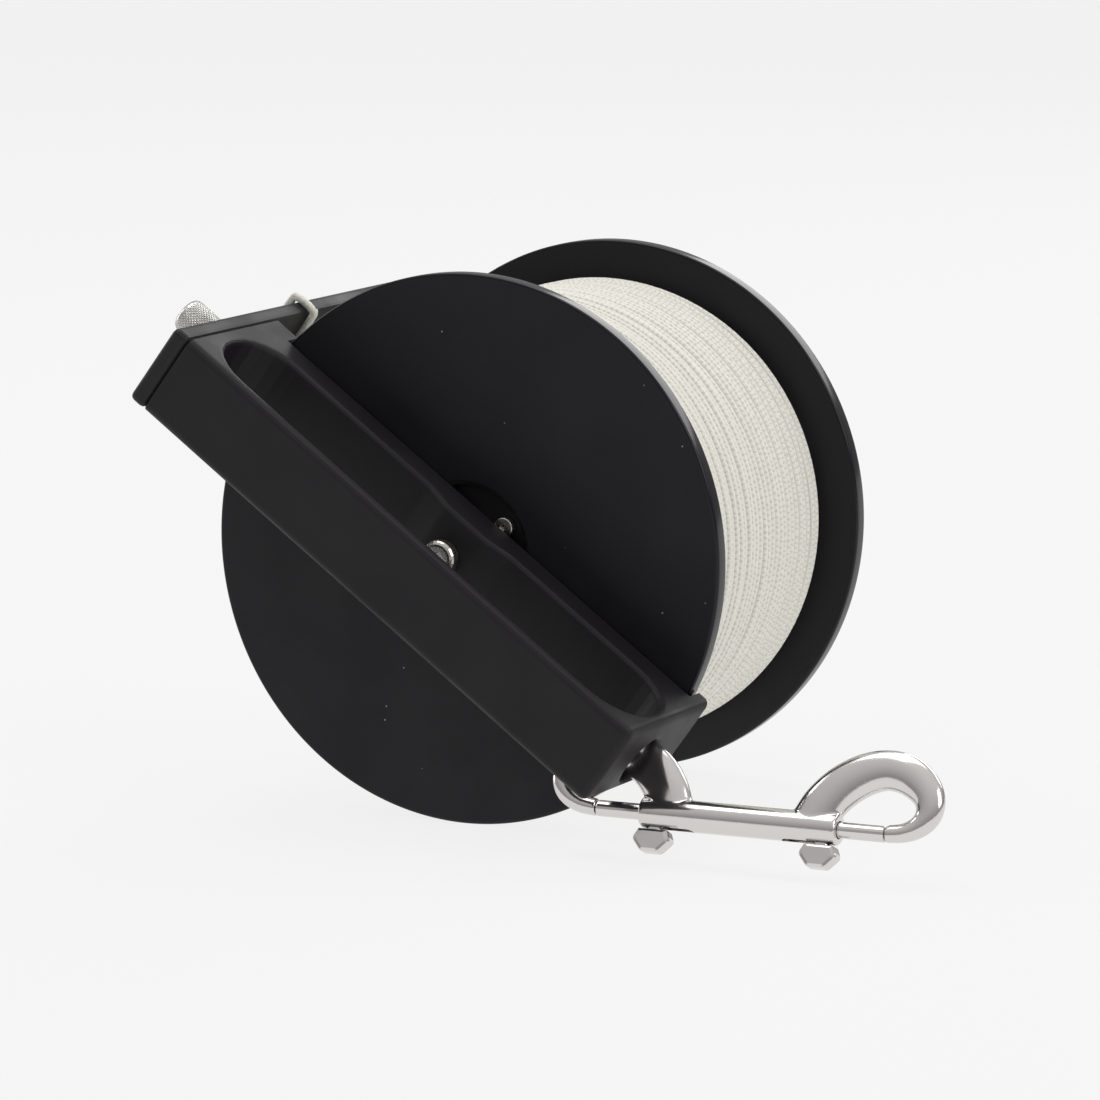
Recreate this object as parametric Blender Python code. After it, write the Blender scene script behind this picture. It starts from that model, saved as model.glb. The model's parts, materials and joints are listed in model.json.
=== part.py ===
"""Side-handle line reel with a double-ended bolt snap.

Metres, +Z up. The origin is the centre of the handle's flat front face, on the spool's axis.
+Y runs back along that axis. The handle slopes down to the right by HANDLE_SLOPE, and its pieces
are placed under an empty turned by that slope, so their own X runs along the handle and their own
Z across it. Spool pieces turn about world Y and keep their origins on it.
"""

import math

import bmesh
import bpy
from mathutils import Euler, Vector

MM = 0.001

# Clearances
GAP = 0.3 * MM
FACE_GAP = 0.3 * MM
CUT_THROUGH = 2.0 * MM

# Spool
FLANGE_RADIUS = 75.0 * MM
FLANGE_THICKNESS = 5.0 * MM
FLANGE_EDGE = 0.8 * MM
FLANGE_FRONT_Y = 45.0 * MM
FLANGE_SPACING = 88.4 * MM
RECESS_RADIUS = 19.0 * MM
RECESS_DEPTH = 3.2 * MM
RECESS_CHAMFER = 1.3 * MM
DRUM_RADIUS = 24.0 * MM
LINE_RADIUS = 65.5 * MM
LINE_CROWN = 0.5 * MM
LINE_SIDE_GAP = 0.4 * MM
LINE_EDGE = 0.9 * MM

# Axle stack
AXLE_RADIUS = 3.0 * MM
AXLE_HEAD_RADIUS = 5.0 * MM
AXLE_HEAD_HEIGHT = 3.7 * MM
AXLE_HEAD_EDGE = 1.6 * MM
AXLE_SOCKET_FLATS = 4.0 * MM
AXLE_SOCKET_DEPTH = 2.0 * MM
SLEEVE_RADIUS = 6.0 * MM
BUSHING_RADIUS = 8.5 * MM
BUSHING_LENGTH = 14.0 * MM
BUSHING_LIP_RADIUS = 9.9 * MM
BUSHING_LIP_THICKNESS = 2.5 * MM
THRUST_WASHER_RADIUS = 9.7 * MM
THRUST_WASHER_THICKNESS = 1.3 * MM
REAR_WASHER_RADIUS = 9.0 * MM
REAR_WASHER_THICKNESS = 1.5 * MM
NUT_ACROSS_FLATS = 10.0 * MM
NUT_HEIGHT = 6.0 * MM
AXLE_END_PROUD = 1.6 * MM

# Hub screws
HUB_SCREW_CIRCLE = 13.0 * MM
HUB_SCREW_ANGLE = math.radians(31.3)
HUB_SCREWS = 4
HUB_HEAD_RADIUS = 2.75 * MM
HUB_HEAD_HEIGHT = 2.4 * MM
HUB_SHANK_RADIUS = 1.5 * MM
HUB_SHANK_LENGTH = 11.6 * MM
HUB_HEAD_EDGE = 0.35 * MM
HUB_SOCKET_RADIUS = 1.0 * MM
HUB_SOCKET_DEPTH = 1.0 * MM

# Winding knob on the rear flange
KNOB_PLACE = (-45.0 * MM, -35.0 * MM)
KNOB_RADIUS = 10.0 * MM
KNOB_WAIST_RADIUS = 8.6 * MM
KNOB_LENGTH = 32.0 * MM
KNOB_POCKET_RADIUS = 6.4 * MM
KNOB_POCKET_DEPTH = 6.0 * MM
SPINDLE_RADIUS = 3.0 * MM
SPINDLE_HEAD_RADIUS = 5.0 * MM
SPINDLE_HEAD_HEIGHT = 1.8 * MM
KNOB_WASHER_RADIUS = 7.0 * MM
KNOB_WASHER_THICKNESS = 1.0 * MM
KNOB_NUT_FLATS = 9.0 * MM
KNOB_NUT_HEIGHT = 4.0 * MM
KNOB_EDGE = 1.5 * MM
KNOB_WAIST_ARC = 20.0 * MM
SPINDLE_HEAD_SUNK = 0.2 * MM
SPINDLE_PROUD = 0.8 * MM
WASHER_EDGE = 0.2 * MM
STEEL_WASHER_EDGE = 0.3 * MM

# Handle block
HANDLE_SLOPE = math.radians(36.38)
HANDLE_HALF_WIDTH = 12.2 * MM
HANDLE_LEFT = -82.5 * MM
HANDLE_RIGHT = 79.2 * MM
HANDLE_EDGE = 2.2 * MM
HANDLE_TO_FLANGE = 1.5 * MM
HOOK_BACK_Y = 49.5 * MM
RIM_CLEARANCE = 0.8 * MM
HOOK_OVERLAP = 1.3 * MM
SLOT_LEFT = -78.2 * MM
SLOT_RIGHT = 75.2 * MM
SLOT_FRONT_Y = 4.2 * MM
SLOT_BACK_Y = 34.4 * MM
SLOT_CORNER = 14.0 * MM
SLOT_LIP = 1.8 * MM
BOSS_FACE_Y = 31.6 * MM
BOSS_HALF = 7.0 * MM
BOSS_FOOT_HALF = 15.0 * MM
BOSS_CORNER = 5.0 * MM
BACK_RELIEF = 0.05 * MM
EYE_HOLE_RADIUS = 7.2 * MM
EYE_HOLE_Y = 24.0 * MM
EYE_HOLE_ACROSS = -3.0 * MM
EYE_HOLE_LIP = 1.5 * MM

# Line guide plate
PLATE_THICKNESS = 5.3 * MM
PLATE_LENGTH = 130.0 * MM
PLATE_EDGE = 1.6 * MM
GUIDE_HOLE_Y = 94.0 * MM
GUIDE_HOLE_LENGTH = 16.0 * MM
GUIDE_HOLE_WIDTH = 10.4 * MM
PLATE_SCREW_YS = (7.5 * MM, 34.0 * MM)
PLATE_SCREW_RADIUS = 2.0 * MM
PLATE_HEAD_RADIUS = 4.0 * MM
PLATE_HEAD_HEIGHT = 2.3 * MM
PLATE_HEAD_SUNK = 0.2 * MM
PLATE_HEAD_EDGE = 1.2 * MM
PLATE_SOCKET_FLATS = 2.5 * MM
PLATE_SOCKET_DEPTH = 1.3 * MM
PLATE_SCREW_DEPTH = 5.0 * MM

# Spool lock
LOCK_Y = 46.5 * MM
LOCK_ACROSS = -2.9 * MM
LOCK_HEAD_RADIUS = 5.05 * MM
LOCK_HEAD_LENGTH = 16.5 * MM
LOCK_HEAD_EDGE = 1.5 * MM
LOCK_SHANK_RADIUS = 1.8 * MM
LOCK_SHANK_IN_BLOCK = 1.6 * MM
PAD_LENGTH = 4.9 * MM

# Line end hitched round the plate
LINE_END_RADIUS = 1.1 * MM
LINE_END_Y = 69.0 * MM
LINE_END_CORNER = 2.6 * MM
KNOT_RADIUS = 2.4 * MM
KNOT_ACROSS = -6.5 * MM
KNOT_SHAPE = (0.75, 1.0, 1.3)
LEAD_START = math.radians(212.0)
LEAD_STEP = math.radians(4.0)
LEAD_RISE = 0.6 * MM
LEAD_POINTS = 7

# Double-ended bolt snap: along is measured from its middle, up in its own plane
SNAP_PLACE = (93.8 * MM, 18.0 * MM, -61.4 * MM)
SNAP_LEAN = math.radians(25.0)
BARREL_HALF = 28.0 * MM
BARREL_RADIUS = 4.2 * MM
EYE_LINE = (
    (20.0, 1.0, 6.2, 3.6),
    (22.6, 6.4, 6.2, 3.6),
    (26.9, 11.4, 6.1, 3.5),
    (32.6, 15.2, 5.8, 3.4),
    (38.4, 16.9, 5.4, 3.3),
    (43.6, 16.4, 5.3, 3.3),
    (47.8, 14.3, 5.0, 3.2),
    (50.9, 11.2, 4.4, 3.1),
    (52.0, 8.0, 3.9, 3.0),
    (51.5, 5.0, 3.4, 2.8),
    (49.4, 2.5, 2.9, 2.6),
    (46.0, 0.8, 2.5, 2.4),
    (41.4, 0.1, 2.3, 2.3),
)
GATE_RADIUS = 2.15 * MM
GATE_OUTER = 41.1 * MM
GATE_INNER = 14.5 * MM
GATE_TRAVEL = 8.6 * MM
BORE_CLEARANCE = 0.25 * MM
BORE_BOTTOM = 2.4 * MM
BORE_REACH = 34.0 * MM
STUD_ALONG = 23.75 * MM
STUD_NECK_HALF = 2.0 * MM
STUD_NECK_THICK = 2.4 * MM
STUD_PAD_TOP = 4.6 * MM
STUD_PAD_BOTTOM = 10.7 * MM
STUD_PAD_THICK = 4.4 * MM
STUD_PAD_EDGE = 0.8 * MM
STUD_PAD_REACH = 3.2 * MM
STUD_TRACK_DEPTH = 7.0 * MM
STUD_OUTLINE = ((-4.2, -4.6), (-5.6, -7.4), (-2.6, -10.7), (2.6, -10.7), (5.6, -7.4), (4.2, -4.6))
SPRING_RADIUS = 1.65 * MM
SPRING_WIRE = 0.28 * MM
SPRING_TURNS = 6
SPRING_STEPS = 9
SECTION_SIDES = 16

# Roundness of the meshes
RIM_STEPS = 72
PART_STEPS = 28
SMALL_STEPS = 20
TINY_STEPS = 12
ARC_STEPS = 4
EDGE_ARC_STEPS = 2

QUARTER = math.pi / 2

# What follows from the sizes above
BLOCK_BACK_Y = FLANGE_FRONT_Y - HANDLE_TO_FLANGE
RELIEF_RADIUS = FLANGE_RADIUS + RIM_CLEARANCE
FLANGE_INNER_Y = FLANGE_FRONT_Y + FLANGE_THICKNESS
REAR_FLANGE_Y = FLANGE_INNER_Y + FLANGE_SPACING
REAR_FACE_Y = REAR_FLANGE_Y + FLANGE_THICKNESS
PLATE_INNER = HANDLE_LEFT - FACE_GAP
PLATE_OUTER = PLATE_INNER - PLATE_THICKNESS


def clear_scene():
    for old in list(bpy.data.objects):
        bpy.data.objects.remove(old, do_unlink=True)


def principled(name, color, metallic, roughness):
    """A Principled material."""
    made = bpy.data.materials.new(name)
    made.use_nodes = True
    shader = made.node_tree.nodes["Principled BSDF"]
    shader.inputs["Base Color"].default_value = (*color, 1.0)
    shader.inputs["Metallic"].default_value = metallic
    shader.inputs["Roughness"].default_value = roughness
    return made


def empty(name, location=(0, 0, 0), rotation=(0, 0, 0), parent=None):
    """A plain axes empty that other objects are placed under."""
    made = bpy.data.objects.new(name, None)
    made.location = location
    made.rotation_euler = Euler(rotation)
    made.parent = parent
    bpy.context.collection.objects.link(made)
    return made


def place(name, mesh, material, location=(0, 0, 0), rotation=(0, 0, 0), parent=None):
    """Links an object that holds this mesh."""
    made = bpy.data.objects.new(name, mesh)
    if material:
        made.data.materials.append(material)
    made.location = location
    made.rotation_euler = Euler(rotation)
    made.parent = parent
    bpy.context.collection.objects.link(made)
    return made


def helper(made):
    """Marks an object as a cutter or a filler, which isn't part of the reel."""
    made.hide_render = True
    made.display_type = "WIRE"
    return made


def mesh_of(bm, name):
    bmesh.ops.recalc_face_normals(bm, faces=bm.faces)
    mesh = bpy.data.meshes.new(name)
    bm.to_mesh(mesh)
    bm.free()
    return mesh


def smooth(made, angle=math.radians(35)):
    """Smooth shading, with every edge sharper than the angle kept sharp."""
    for face in made.data.polygons:
        face.use_smooth = True
    made.data.set_sharp_from_angle(angle=angle)
    return made


def fillet(points, radii, steps=ARC_STEPS, closed=True):
    """The 2-D outline with each corner of a radius over zero replaced by an arc."""
    count = len(points)
    outline = []
    for i, (point, radius) in enumerate(zip(points, radii)):
        corner = Vector(point)
        inside = closed or 0 < i < count - 1
        if radius <= 0 or not inside:
            outline.append(corner)
            continue
        back = (Vector(points[i - 1]) - corner).normalized()
        ahead = (Vector(points[(i + 1) % count]) - corner).normalized()
        half = back.angle(ahead) / 2
        reach = radius / math.tan(half)
        middle = corner + (back + ahead).normalized() * (radius / math.sin(half))
        start = corner + back * reach - middle
        turn = start.angle_signed(corner + ahead * reach - middle)
        for k in range(steps + 1):
            swing = -turn * k / steps
            cosine = math.cos(swing)
            sine = math.sin(swing)
            outline.append(
                middle + Vector((start.x * cosine - start.y * sine, start.x * sine + start.y * cosine))
            )
    return [(point.x, point.y) for point in outline]


def rounded_rectangle(low_x, high_x, low_y, high_y, radius, steps=ARC_STEPS):
    corners = [(low_x, low_y), (high_x, low_y), (high_x, high_y), (low_x, high_y)]
    return fillet(corners, [radius] * 4, steps)


def add_ring(bm, points):
    return [bm.verts.new(point) for point in points]


def loft(rings, name):
    """A closed solid through rings of as many points each, with a flat cap at both ends."""
    bm = bmesh.new()
    made = [add_ring(bm, ring) for ring in rings]
    for near, far in zip(made, made[1:]):
        for i in range(len(near)):
            j = (i + 1) % len(near)
            bm.faces.new((near[i], near[j], far[j], far[i]))
    bm.faces.new(made[0])
    bm.faces.new(made[-1])
    return mesh_of(bm, name)


def prism(outline, low, high, name):
    """The outline in X and Y, drawn out along Z."""
    rings = [[(x, y, z) for x, y in outline] for z in (low, high)]
    return loft(rings, name)


def turned(name, profile, material, steps, ring=False, **where):
    """A solid turned about its own Z from (radius, height) points that run down its outer side."""
    bm = bmesh.new()
    points = [bm.verts.new((radius, 0, height)) for radius, height in profile]
    for near, far in zip(points, points[1:]):
        bm.edges.new((near, far))
    if ring:
        bm.edges.new((points[-1], points[0]))
    mesh = bpy.data.meshes.new(name)
    bm.to_mesh(mesh)
    bm.free()
    made = place(name, mesh, material, **where)
    screw = made.modifiers.new("Turn", "SCREW")
    screw.axis = "Z"
    screw.angle = 2 * math.pi
    screw.steps = steps
    screw.render_steps = steps
    screw.use_merge_vertices = True
    screw.merge_threshold = 1e-6
    screw.use_smooth_shade = True
    return made


def baked(made):
    """The object with its modifiers applied, so that its edges can be marked sharp."""
    bpy.context.view_layer.update()
    graph = bpy.context.evaluated_depsgraph_get()
    mesh = bpy.data.meshes.new_from_object(made.evaluated_get(graph), depsgraph=graph)
    made.modifiers.clear()
    made.data = mesh
    return smooth(made)


def combine(made, other, operation):
    """Adds or cuts with another object, which stays as a hidden helper."""
    step = made.modifiers.new(operation.title(), "BOOLEAN")
    step.operation = operation
    step.solver = "EXACT"
    step.object = other
    helper(other)
    return made


def washer(name, inner, outer, low, high, material, edge=0.0, **where):
    """A ring from low to high on its own Z, with its outer edges rounded."""
    corners = [(inner, high), (outer, high), (outer, low), (inner, low)]
    profile = fillet(corners, [0, edge, edge, 0], 1)
    return baked(turned(name, profile, material, PART_STEPS, ring=True, **where))


def cylinder(name, radius, low, high, material=None, edge=0.0, steps=PART_STEPS, **where):
    """A rod from low to high on its own Z, with its edges rounded."""
    corners = [(0, high), (radius, high), (radius, low), (0, low)]
    profile = fillet(corners, [0, edge, edge, 0], EDGE_ARC_STEPS, closed=False)
    return turned(name, profile, material, steps, **where)


def bore(made, name, radius, low, high, **where):
    """Cuts a round hole, given on the cutter's own Z."""
    return combine(made, cylinder(name, radius, low, high, **where), "DIFFERENCE")


def hexagon(across_flats):
    radius = across_flats / math.sqrt(3)
    return [(radius * math.cos(k * math.pi / 3), radius * math.sin(k * math.pi / 3)) for k in range(6)]


def nut(name, across_flats, height, hole, material, **where):
    """A hexagon nut with a plain hole, low face at its own Z zero."""
    made = place(name, prism(hexagon(across_flats), 0, height, name), material, **where)
    bore(made, name + "_hole", hole, -CUT_THROUGH, height + CUT_THROUGH, steps=SMALL_STEPS, **where)
    return baked(made)


def tube_along(name, points, radius, material, cyclic=False, sides=3, **where):
    """A round cord of one radius along the points."""
    curve = bpy.data.curves.new(name, "CURVE")
    curve.dimensions = "3D"
    curve.bevel_depth = radius
    curve.bevel_resolution = sides
    curve.use_fill_caps = not cyclic
    curve.render_resolution_u = 0
    spline = curve.splines.new("POLY")
    spline.points.add(len(points) - 1)
    for slot, point in zip(spline.points, points):
        slot.co = (*point, 1)
    spline.use_cyclic_u = cyclic
    made = place(name, curve, material, **where)
    bpy.context.view_layer.update()
    graph = bpy.context.evaluated_depsgraph_get()
    mesh = bpy.data.meshes.new_from_object(made.evaluated_get(graph), depsgraph=graph)
    bpy.data.objects.remove(made, do_unlink=True)
    bm = bmesh.new()
    bm.from_mesh(mesh)
    bmesh.ops.remove_doubles(bm, verts=bm.verts, dist=1e-6)
    solid = mesh_of(bm, name)
    solid.materials.clear()
    return smooth(place(name, solid, material, **where))


# World directions for a solid's own Z
ALONG_Y = (-QUARTER, 0, 0)
ALONG_X = (0, QUARTER, 0)

clear_scene()

BLACK_ACETAL = principled("black_acetal", (0.022, 0.021, 0.020), 0.0, 0.42)
BLACK_PLATE = principled("black_plate", (0.024, 0.024, 0.024), 0.0, 0.45)
FLANGE_BLACK = principled("flange_black", (0.018, 0.019, 0.022), 0.0, 0.40)
DRUM_BLACK = principled("drum_black", (0.030, 0.030, 0.032), 0.0, 0.5)
STEEL = principled("stainless_steel", (0.62, 0.61, 0.59), 1.0, 0.30)
POLISHED = principled("polished_stainless", (0.70, 0.69, 0.67), 1.0, 0.12)
SPRING_STEEL = principled("spring_steel", (0.45, 0.45, 0.45), 1.0, 0.35)
WHITE_LINE = principled("white_braided_line", (0.80, 0.80, 0.77), 0.0, 0.85)
NYLON = principled("natural_nylon", (0.72, 0.70, 0.62), 0.0, 0.5)
BUSHING_PLASTIC = principled("bushing_plastic", (0.55, 0.53, 0.48), 0.0, 0.5)

HANDLE_AXES = empty("handle_axes", rotation=(0, HANDLE_SLOPE, 0))


# Handle block

def handle_blank():
    """The bar with its hooked ends, its long edges and right-hand edges rounded."""
    back = BLOCK_BACK_Y + BACK_RELIEF
    hook = RELIEF_RADIUS - HOOK_OVERLAP
    outline = [
        (HANDLE_LEFT, 0),
        (HANDLE_RIGHT, 0),
        (HANDLE_RIGHT, HOOK_BACK_Y),
        (hook, HOOK_BACK_Y),
        (hook, back),
        (-hook, back),
        (-hook, HOOK_BACK_Y),
        (HANDLE_LEFT, HOOK_BACK_Y),
    ]
    bm = bmesh.new()
    bottom = add_ring(bm, [(x, y, -HANDLE_HALF_WIDTH) for x, y in outline])
    top = add_ring(bm, [(x, y, HANDLE_HALF_WIDTH) for x, y in outline])
    for i in range(len(outline)):
        j = (i + 1) % len(outline)
        bm.faces.new((bottom[i], bottom[j], top[j], top[i]))
    bm.faces.new(bottom)
    bm.faces.new(top)
    bmesh.ops.recalc_face_normals(bm, faces=bm.faces)
    rounded = []
    for edge in bm.edges:
        ends = [vertex.co for vertex in edge.verts]
        right = all(abs(end.x - HANDLE_RIGHT) < 1e-6 for end in ends)
        long = abs(ends[0].x - ends[1].x) > 2 * hook - 1e-6
        if right or long:
            rounded.append(edge)
    bmesh.ops.bevel(bm, geom=rounded, offset=HANDLE_EDGE, segments=4, profile=0.5, affect="EDGES")
    return mesh_of(bm, "handle_block")


def slot_outline():
    """The finger slot from above: round ends, and a low boss on its back wall round the axle."""
    corners = [
        (SLOT_LEFT, SLOT_FRONT_Y),
        (SLOT_RIGHT, SLOT_FRONT_Y),
        (SLOT_RIGHT, SLOT_BACK_Y),
        (BOSS_FOOT_HALF, SLOT_BACK_Y),
        (BOSS_HALF, BOSS_FACE_Y),
        (-BOSS_HALF, BOSS_FACE_Y),
        (-BOSS_FOOT_HALF, SLOT_BACK_Y),
        (SLOT_LEFT, SLOT_BACK_Y),
    ]
    radii = [SLOT_CORNER] * 3 + [BOSS_CORNER] * 4 + [SLOT_CORNER]
    return fillet(corners, radii, ARC_STEPS + 2)


def spread_out(outline, reach):
    """The anticlockwise outline with each point moved outwards by the reach."""
    moved = []
    for i, point in enumerate(outline):
        here = Vector(point)
        back = (here - Vector(outline[i - 1])).normalized()
        ahead = (Vector(outline[(i + 1) % len(outline)]) - here).normalized()
        along = (back + ahead).normalized()
        lengthened = reach / max(along.dot(ahead), 0.5)
        moved.append((here.x + along.y * lengthened, here.y - along.x * lengthened))
    return moved


def slot_cutter():
    """The finger slot, opened out over both lips."""
    levels = [(-HANDLE_HALF_WIDTH - CUT_THROUGH, SLOT_LIP)]
    for side in (-1, 1):
        arc = []
        for k in range(ARC_STEPS + 1):
            angle = QUARTER * k / ARC_STEPS
            height = HANDLE_HALF_WIDTH - SLOT_LIP * (1 - math.sin(angle))
            arc.append((side * height, SLOT_LIP * (1 - math.cos(angle))))
        levels += reversed(arc) if side < 0 else arc
    levels.append((HANDLE_HALF_WIDTH + CUT_THROUGH, SLOT_LIP))
    outline = slot_outline()
    rings = [[(x, y, height) for x, y in spread_out(outline, spread)] for height, spread in levels]
    return place("slot_cutter", loft(rings, "slot_cutter"), None, parent=HANDLE_AXES)


def eye_hole_cutter():
    """The hole through the right end wall, opened out at both mouths."""
    outer = HANDLE_RIGHT
    inner = SLOT_RIGHT
    profile = [(0, outer + CUT_THROUGH), (EYE_HOLE_RADIUS + EYE_HOLE_LIP, outer + CUT_THROUGH)]
    for mouth, side in ((outer, 1), (inner, -1)):
        arc = []
        for k in range(ARC_STEPS + 1):
            angle = QUARTER * k / ARC_STEPS
            reach = EYE_HOLE_RADIUS + EYE_HOLE_LIP * (1 - math.sin(angle))
            arc.append((reach, mouth - side * EYE_HOLE_LIP * (1 - math.cos(angle))))
        profile += arc if side > 0 else reversed(arc)
    profile.append((EYE_HOLE_RADIUS + EYE_HOLE_LIP, inner - 3 * CUT_THROUGH))
    profile.append((0, inner - 3 * CUT_THROUGH))
    where = (0, EYE_HOLE_Y, EYE_HOLE_ACROSS)
    return turned(
        "eye_hole_cutter", profile, None, SMALL_STEPS, location=where, rotation=ALONG_X, parent=HANDLE_AXES
    )


handle_block = place("handle_block", handle_blank(), BLACK_ACETAL, parent=HANDLE_AXES)
combine(handle_block, slot_cutter(), "DIFFERENCE")
combine(handle_block, eye_hole_cutter(), "DIFFERENCE")
bore(
    handle_block,
    "rim_relief",
    RELIEF_RADIUS,
    BLOCK_BACK_Y,
    HOOK_BACK_Y + CUT_THROUGH,
    steps=RIM_STEPS,
    rotation=ALONG_Y,
)
bore(
    handle_block,
    "axle_hole",
    AXLE_RADIUS + GAP,
    BOSS_FACE_Y - CUT_THROUGH,
    BLOCK_BACK_Y + CUT_THROUGH,
    steps=SMALL_STEPS,
    rotation=ALONG_Y,
)
for number, screw_y in enumerate(PLATE_SCREW_YS, 1):
    bore(
        handle_block,
        f"plate_screw_hole_{number}",
        PLATE_SCREW_RADIUS + GAP,
        HANDLE_LEFT - CUT_THROUGH,
        HANDLE_LEFT + PLATE_SCREW_DEPTH + 2 * GAP,
        steps=SMALL_STEPS,
        location=(0, screw_y, 0),
        rotation=ALONG_X,
        parent=HANDLE_AXES,
    )
bore(
    handle_block,
    "lock_hole",
    LOCK_SHANK_RADIUS + GAP,
    HANDLE_LEFT - CUT_THROUGH,
    -FLANGE_RADIUS + CUT_THROUGH,
    steps=SMALL_STEPS,
    location=(0, LOCK_Y, LOCK_ACROSS),
    rotation=ALONG_X,
    parent=HANDLE_AXES,
)
baked(handle_block)


# Line guide plate, its screws and the spool lock

def plate_blank():
    """The plate as a slab with every edge rounded."""
    bm = bmesh.new()
    bmesh.ops.create_cube(bm, size=1)
    bmesh.ops.scale(bm, verts=bm.verts, vec=(PLATE_THICKNESS, PLATE_LENGTH, 2 * HANDLE_HALF_WIDTH))
    middle = ((PLATE_INNER + PLATE_OUTER) / 2, PLATE_LENGTH / 2, 0)
    bmesh.ops.translate(bm, verts=bm.verts, vec=middle)
    bmesh.ops.bevel(bm, geom=list(bm.edges), offset=PLATE_EDGE, segments=3, profile=0.5, affect="EDGES")
    return mesh_of(bm, "line_guide_plate")


def guide_hole_cutter():
    """The long round-ended hole that the line pays out through."""
    outline = rounded_rectangle(
        -GUIDE_HOLE_WIDTH / 2,
        GUIDE_HOLE_WIDTH / 2,
        GUIDE_HOLE_Y - GUIDE_HOLE_LENGTH / 2,
        GUIDE_HOLE_Y + GUIDE_HOLE_LENGTH / 2,
        GUIDE_HOLE_WIDTH / 2 - 0.01 * MM,
        8,
    )
    low = PLATE_OUTER - CUT_THROUGH
    high = PLATE_INNER + CUT_THROUGH
    rings = [[(x, y, -z) for z, y in outline] for x in (low, high)]
    return place("guide_hole_cutter", loft(rings, "guide_hole_cutter"), None, parent=HANDLE_AXES)


line_guide_plate = place("line_guide_plate", plate_blank(), BLACK_PLATE, parent=HANDLE_AXES)
combine(line_guide_plate, guide_hole_cutter(), "DIFFERENCE")
head_top = PLATE_OUTER + PLATE_HEAD_SUNK
head_floor = head_top + PLATE_HEAD_HEIGHT
for number, screw_y in enumerate(PLATE_SCREW_YS, 1):
    where = {"location": (0, screw_y, 0), "rotation": ALONG_X, "parent": HANDLE_AXES}
    stepped = [
        (0, PLATE_INNER + CUT_THROUGH),
        (PLATE_SCREW_RADIUS + GAP, PLATE_INNER + CUT_THROUGH),
        (PLATE_SCREW_RADIUS + GAP, head_floor + GAP),
        (PLATE_HEAD_RADIUS + GAP, head_floor + GAP),
        (PLATE_HEAD_RADIUS + GAP, PLATE_OUTER - CUT_THROUGH),
        (0, PLATE_OUTER - CUT_THROUGH),
    ]
    pocket = turned(f"head_pocket_{number}", stepped, None, SMALL_STEPS, **where)
    combine(line_guide_plate, pocket, "DIFFERENCE")
    end = HANDLE_LEFT + PLATE_SCREW_DEPTH
    corners = [
        (0, end),
        (PLATE_SCREW_RADIUS, end),
        (PLATE_SCREW_RADIUS, head_floor),
        (PLATE_HEAD_RADIUS, head_floor),
        (PLATE_HEAD_RADIUS, head_top),
        (0, head_top),
    ]
    profile = fillet(corners, [0, 0.4 * MM, 0, 0, PLATE_HEAD_EDGE, 0], EDGE_ARC_STEPS, closed=False)
    plate_screw = turned(f"plate_screw_{number}", profile, STEEL, SMALL_STEPS, **where)
    socket = place(
        f"plate_socket_{number}",
        prism(
            hexagon(PLATE_SOCKET_FLATS),
            head_top - CUT_THROUGH,
            head_top + PLATE_SOCKET_DEPTH,
            "plate_socket",
        ),
        None,
        **where,
    )
    combine(plate_screw, socket, "DIFFERENCE")
    baked(plate_screw)

lock_place = {"location": (0, LOCK_Y, LOCK_ACROSS), "rotation": ALONG_X, "parent": HANDLE_AXES}
bore(
    line_guide_plate,
    "plate_lock_hole",
    LOCK_SHANK_RADIUS + GAP,
    PLATE_OUTER - CUT_THROUGH,
    PLATE_INNER + CUT_THROUGH,
    steps=SMALL_STEPS,
    **lock_place,
)
baked(line_guide_plate)

lock_head_low = PLATE_OUTER - GAP - LOCK_HEAD_LENGTH
lock_shank_end = HANDLE_LEFT + LOCK_SHANK_IN_BLOCK
lock_corners = [
    (0, lock_shank_end),
    (LOCK_SHANK_RADIUS, lock_shank_end),
    (LOCK_SHANK_RADIUS, PLATE_OUTER - GAP),
    (LOCK_HEAD_RADIUS, PLATE_OUTER - GAP),
    (LOCK_HEAD_RADIUS, lock_head_low),
    (0, lock_head_low),
]
lock_profile = fillet(lock_corners, [0, 0.3 * MM, 0, 0.6 * MM, LOCK_HEAD_EDGE, 0], 3, closed=False)
baked(turned("thumbscrew", lock_profile, STEEL, PART_STEPS, **lock_place))
pad_low = lock_shank_end + GAP
baked(
    cylinder(
        "lock_pad",
        LOCK_SHANK_RADIUS,
        pad_low,
        pad_low + PAD_LENGTH,
        NYLON,
        edge=0.3 * MM,
        steps=SMALL_STEPS,
        **lock_place,
    )
)


# Axle stack on the spool's axis

def on_axis(y=0.0):
    return {"location": (0, y, 0), "rotation": ALONG_Y}


sleeve_low = BLOCK_BACK_Y + FACE_GAP
thrust_high = sleeve_low + THRUST_WASHER_THICKNESS
recess_floor = FLANGE_FRONT_Y + RECESS_DEPTH
rear_floor = REAR_FACE_Y - RECESS_DEPTH
lip_front = recess_floor - FACE_GAP - BUSHING_LIP_THICKNESS
lip_back = rear_floor + FACE_GAP + BUSHING_LIP_THICKNESS
rear_thrust_low = lip_back + FACE_GAP
sleeve_high = rear_thrust_low + THRUST_WASHER_THICKNESS
rear_washer_low = sleeve_high + FACE_GAP
nut_low = rear_washer_low + REAR_WASHER_THICKNESS + FACE_GAP
axle_end = nut_low + NUT_HEIGHT + AXLE_END_PROUD
axle_seat = BOSS_FACE_Y - FACE_GAP
axle_head = axle_seat - AXLE_HEAD_HEIGHT

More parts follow.
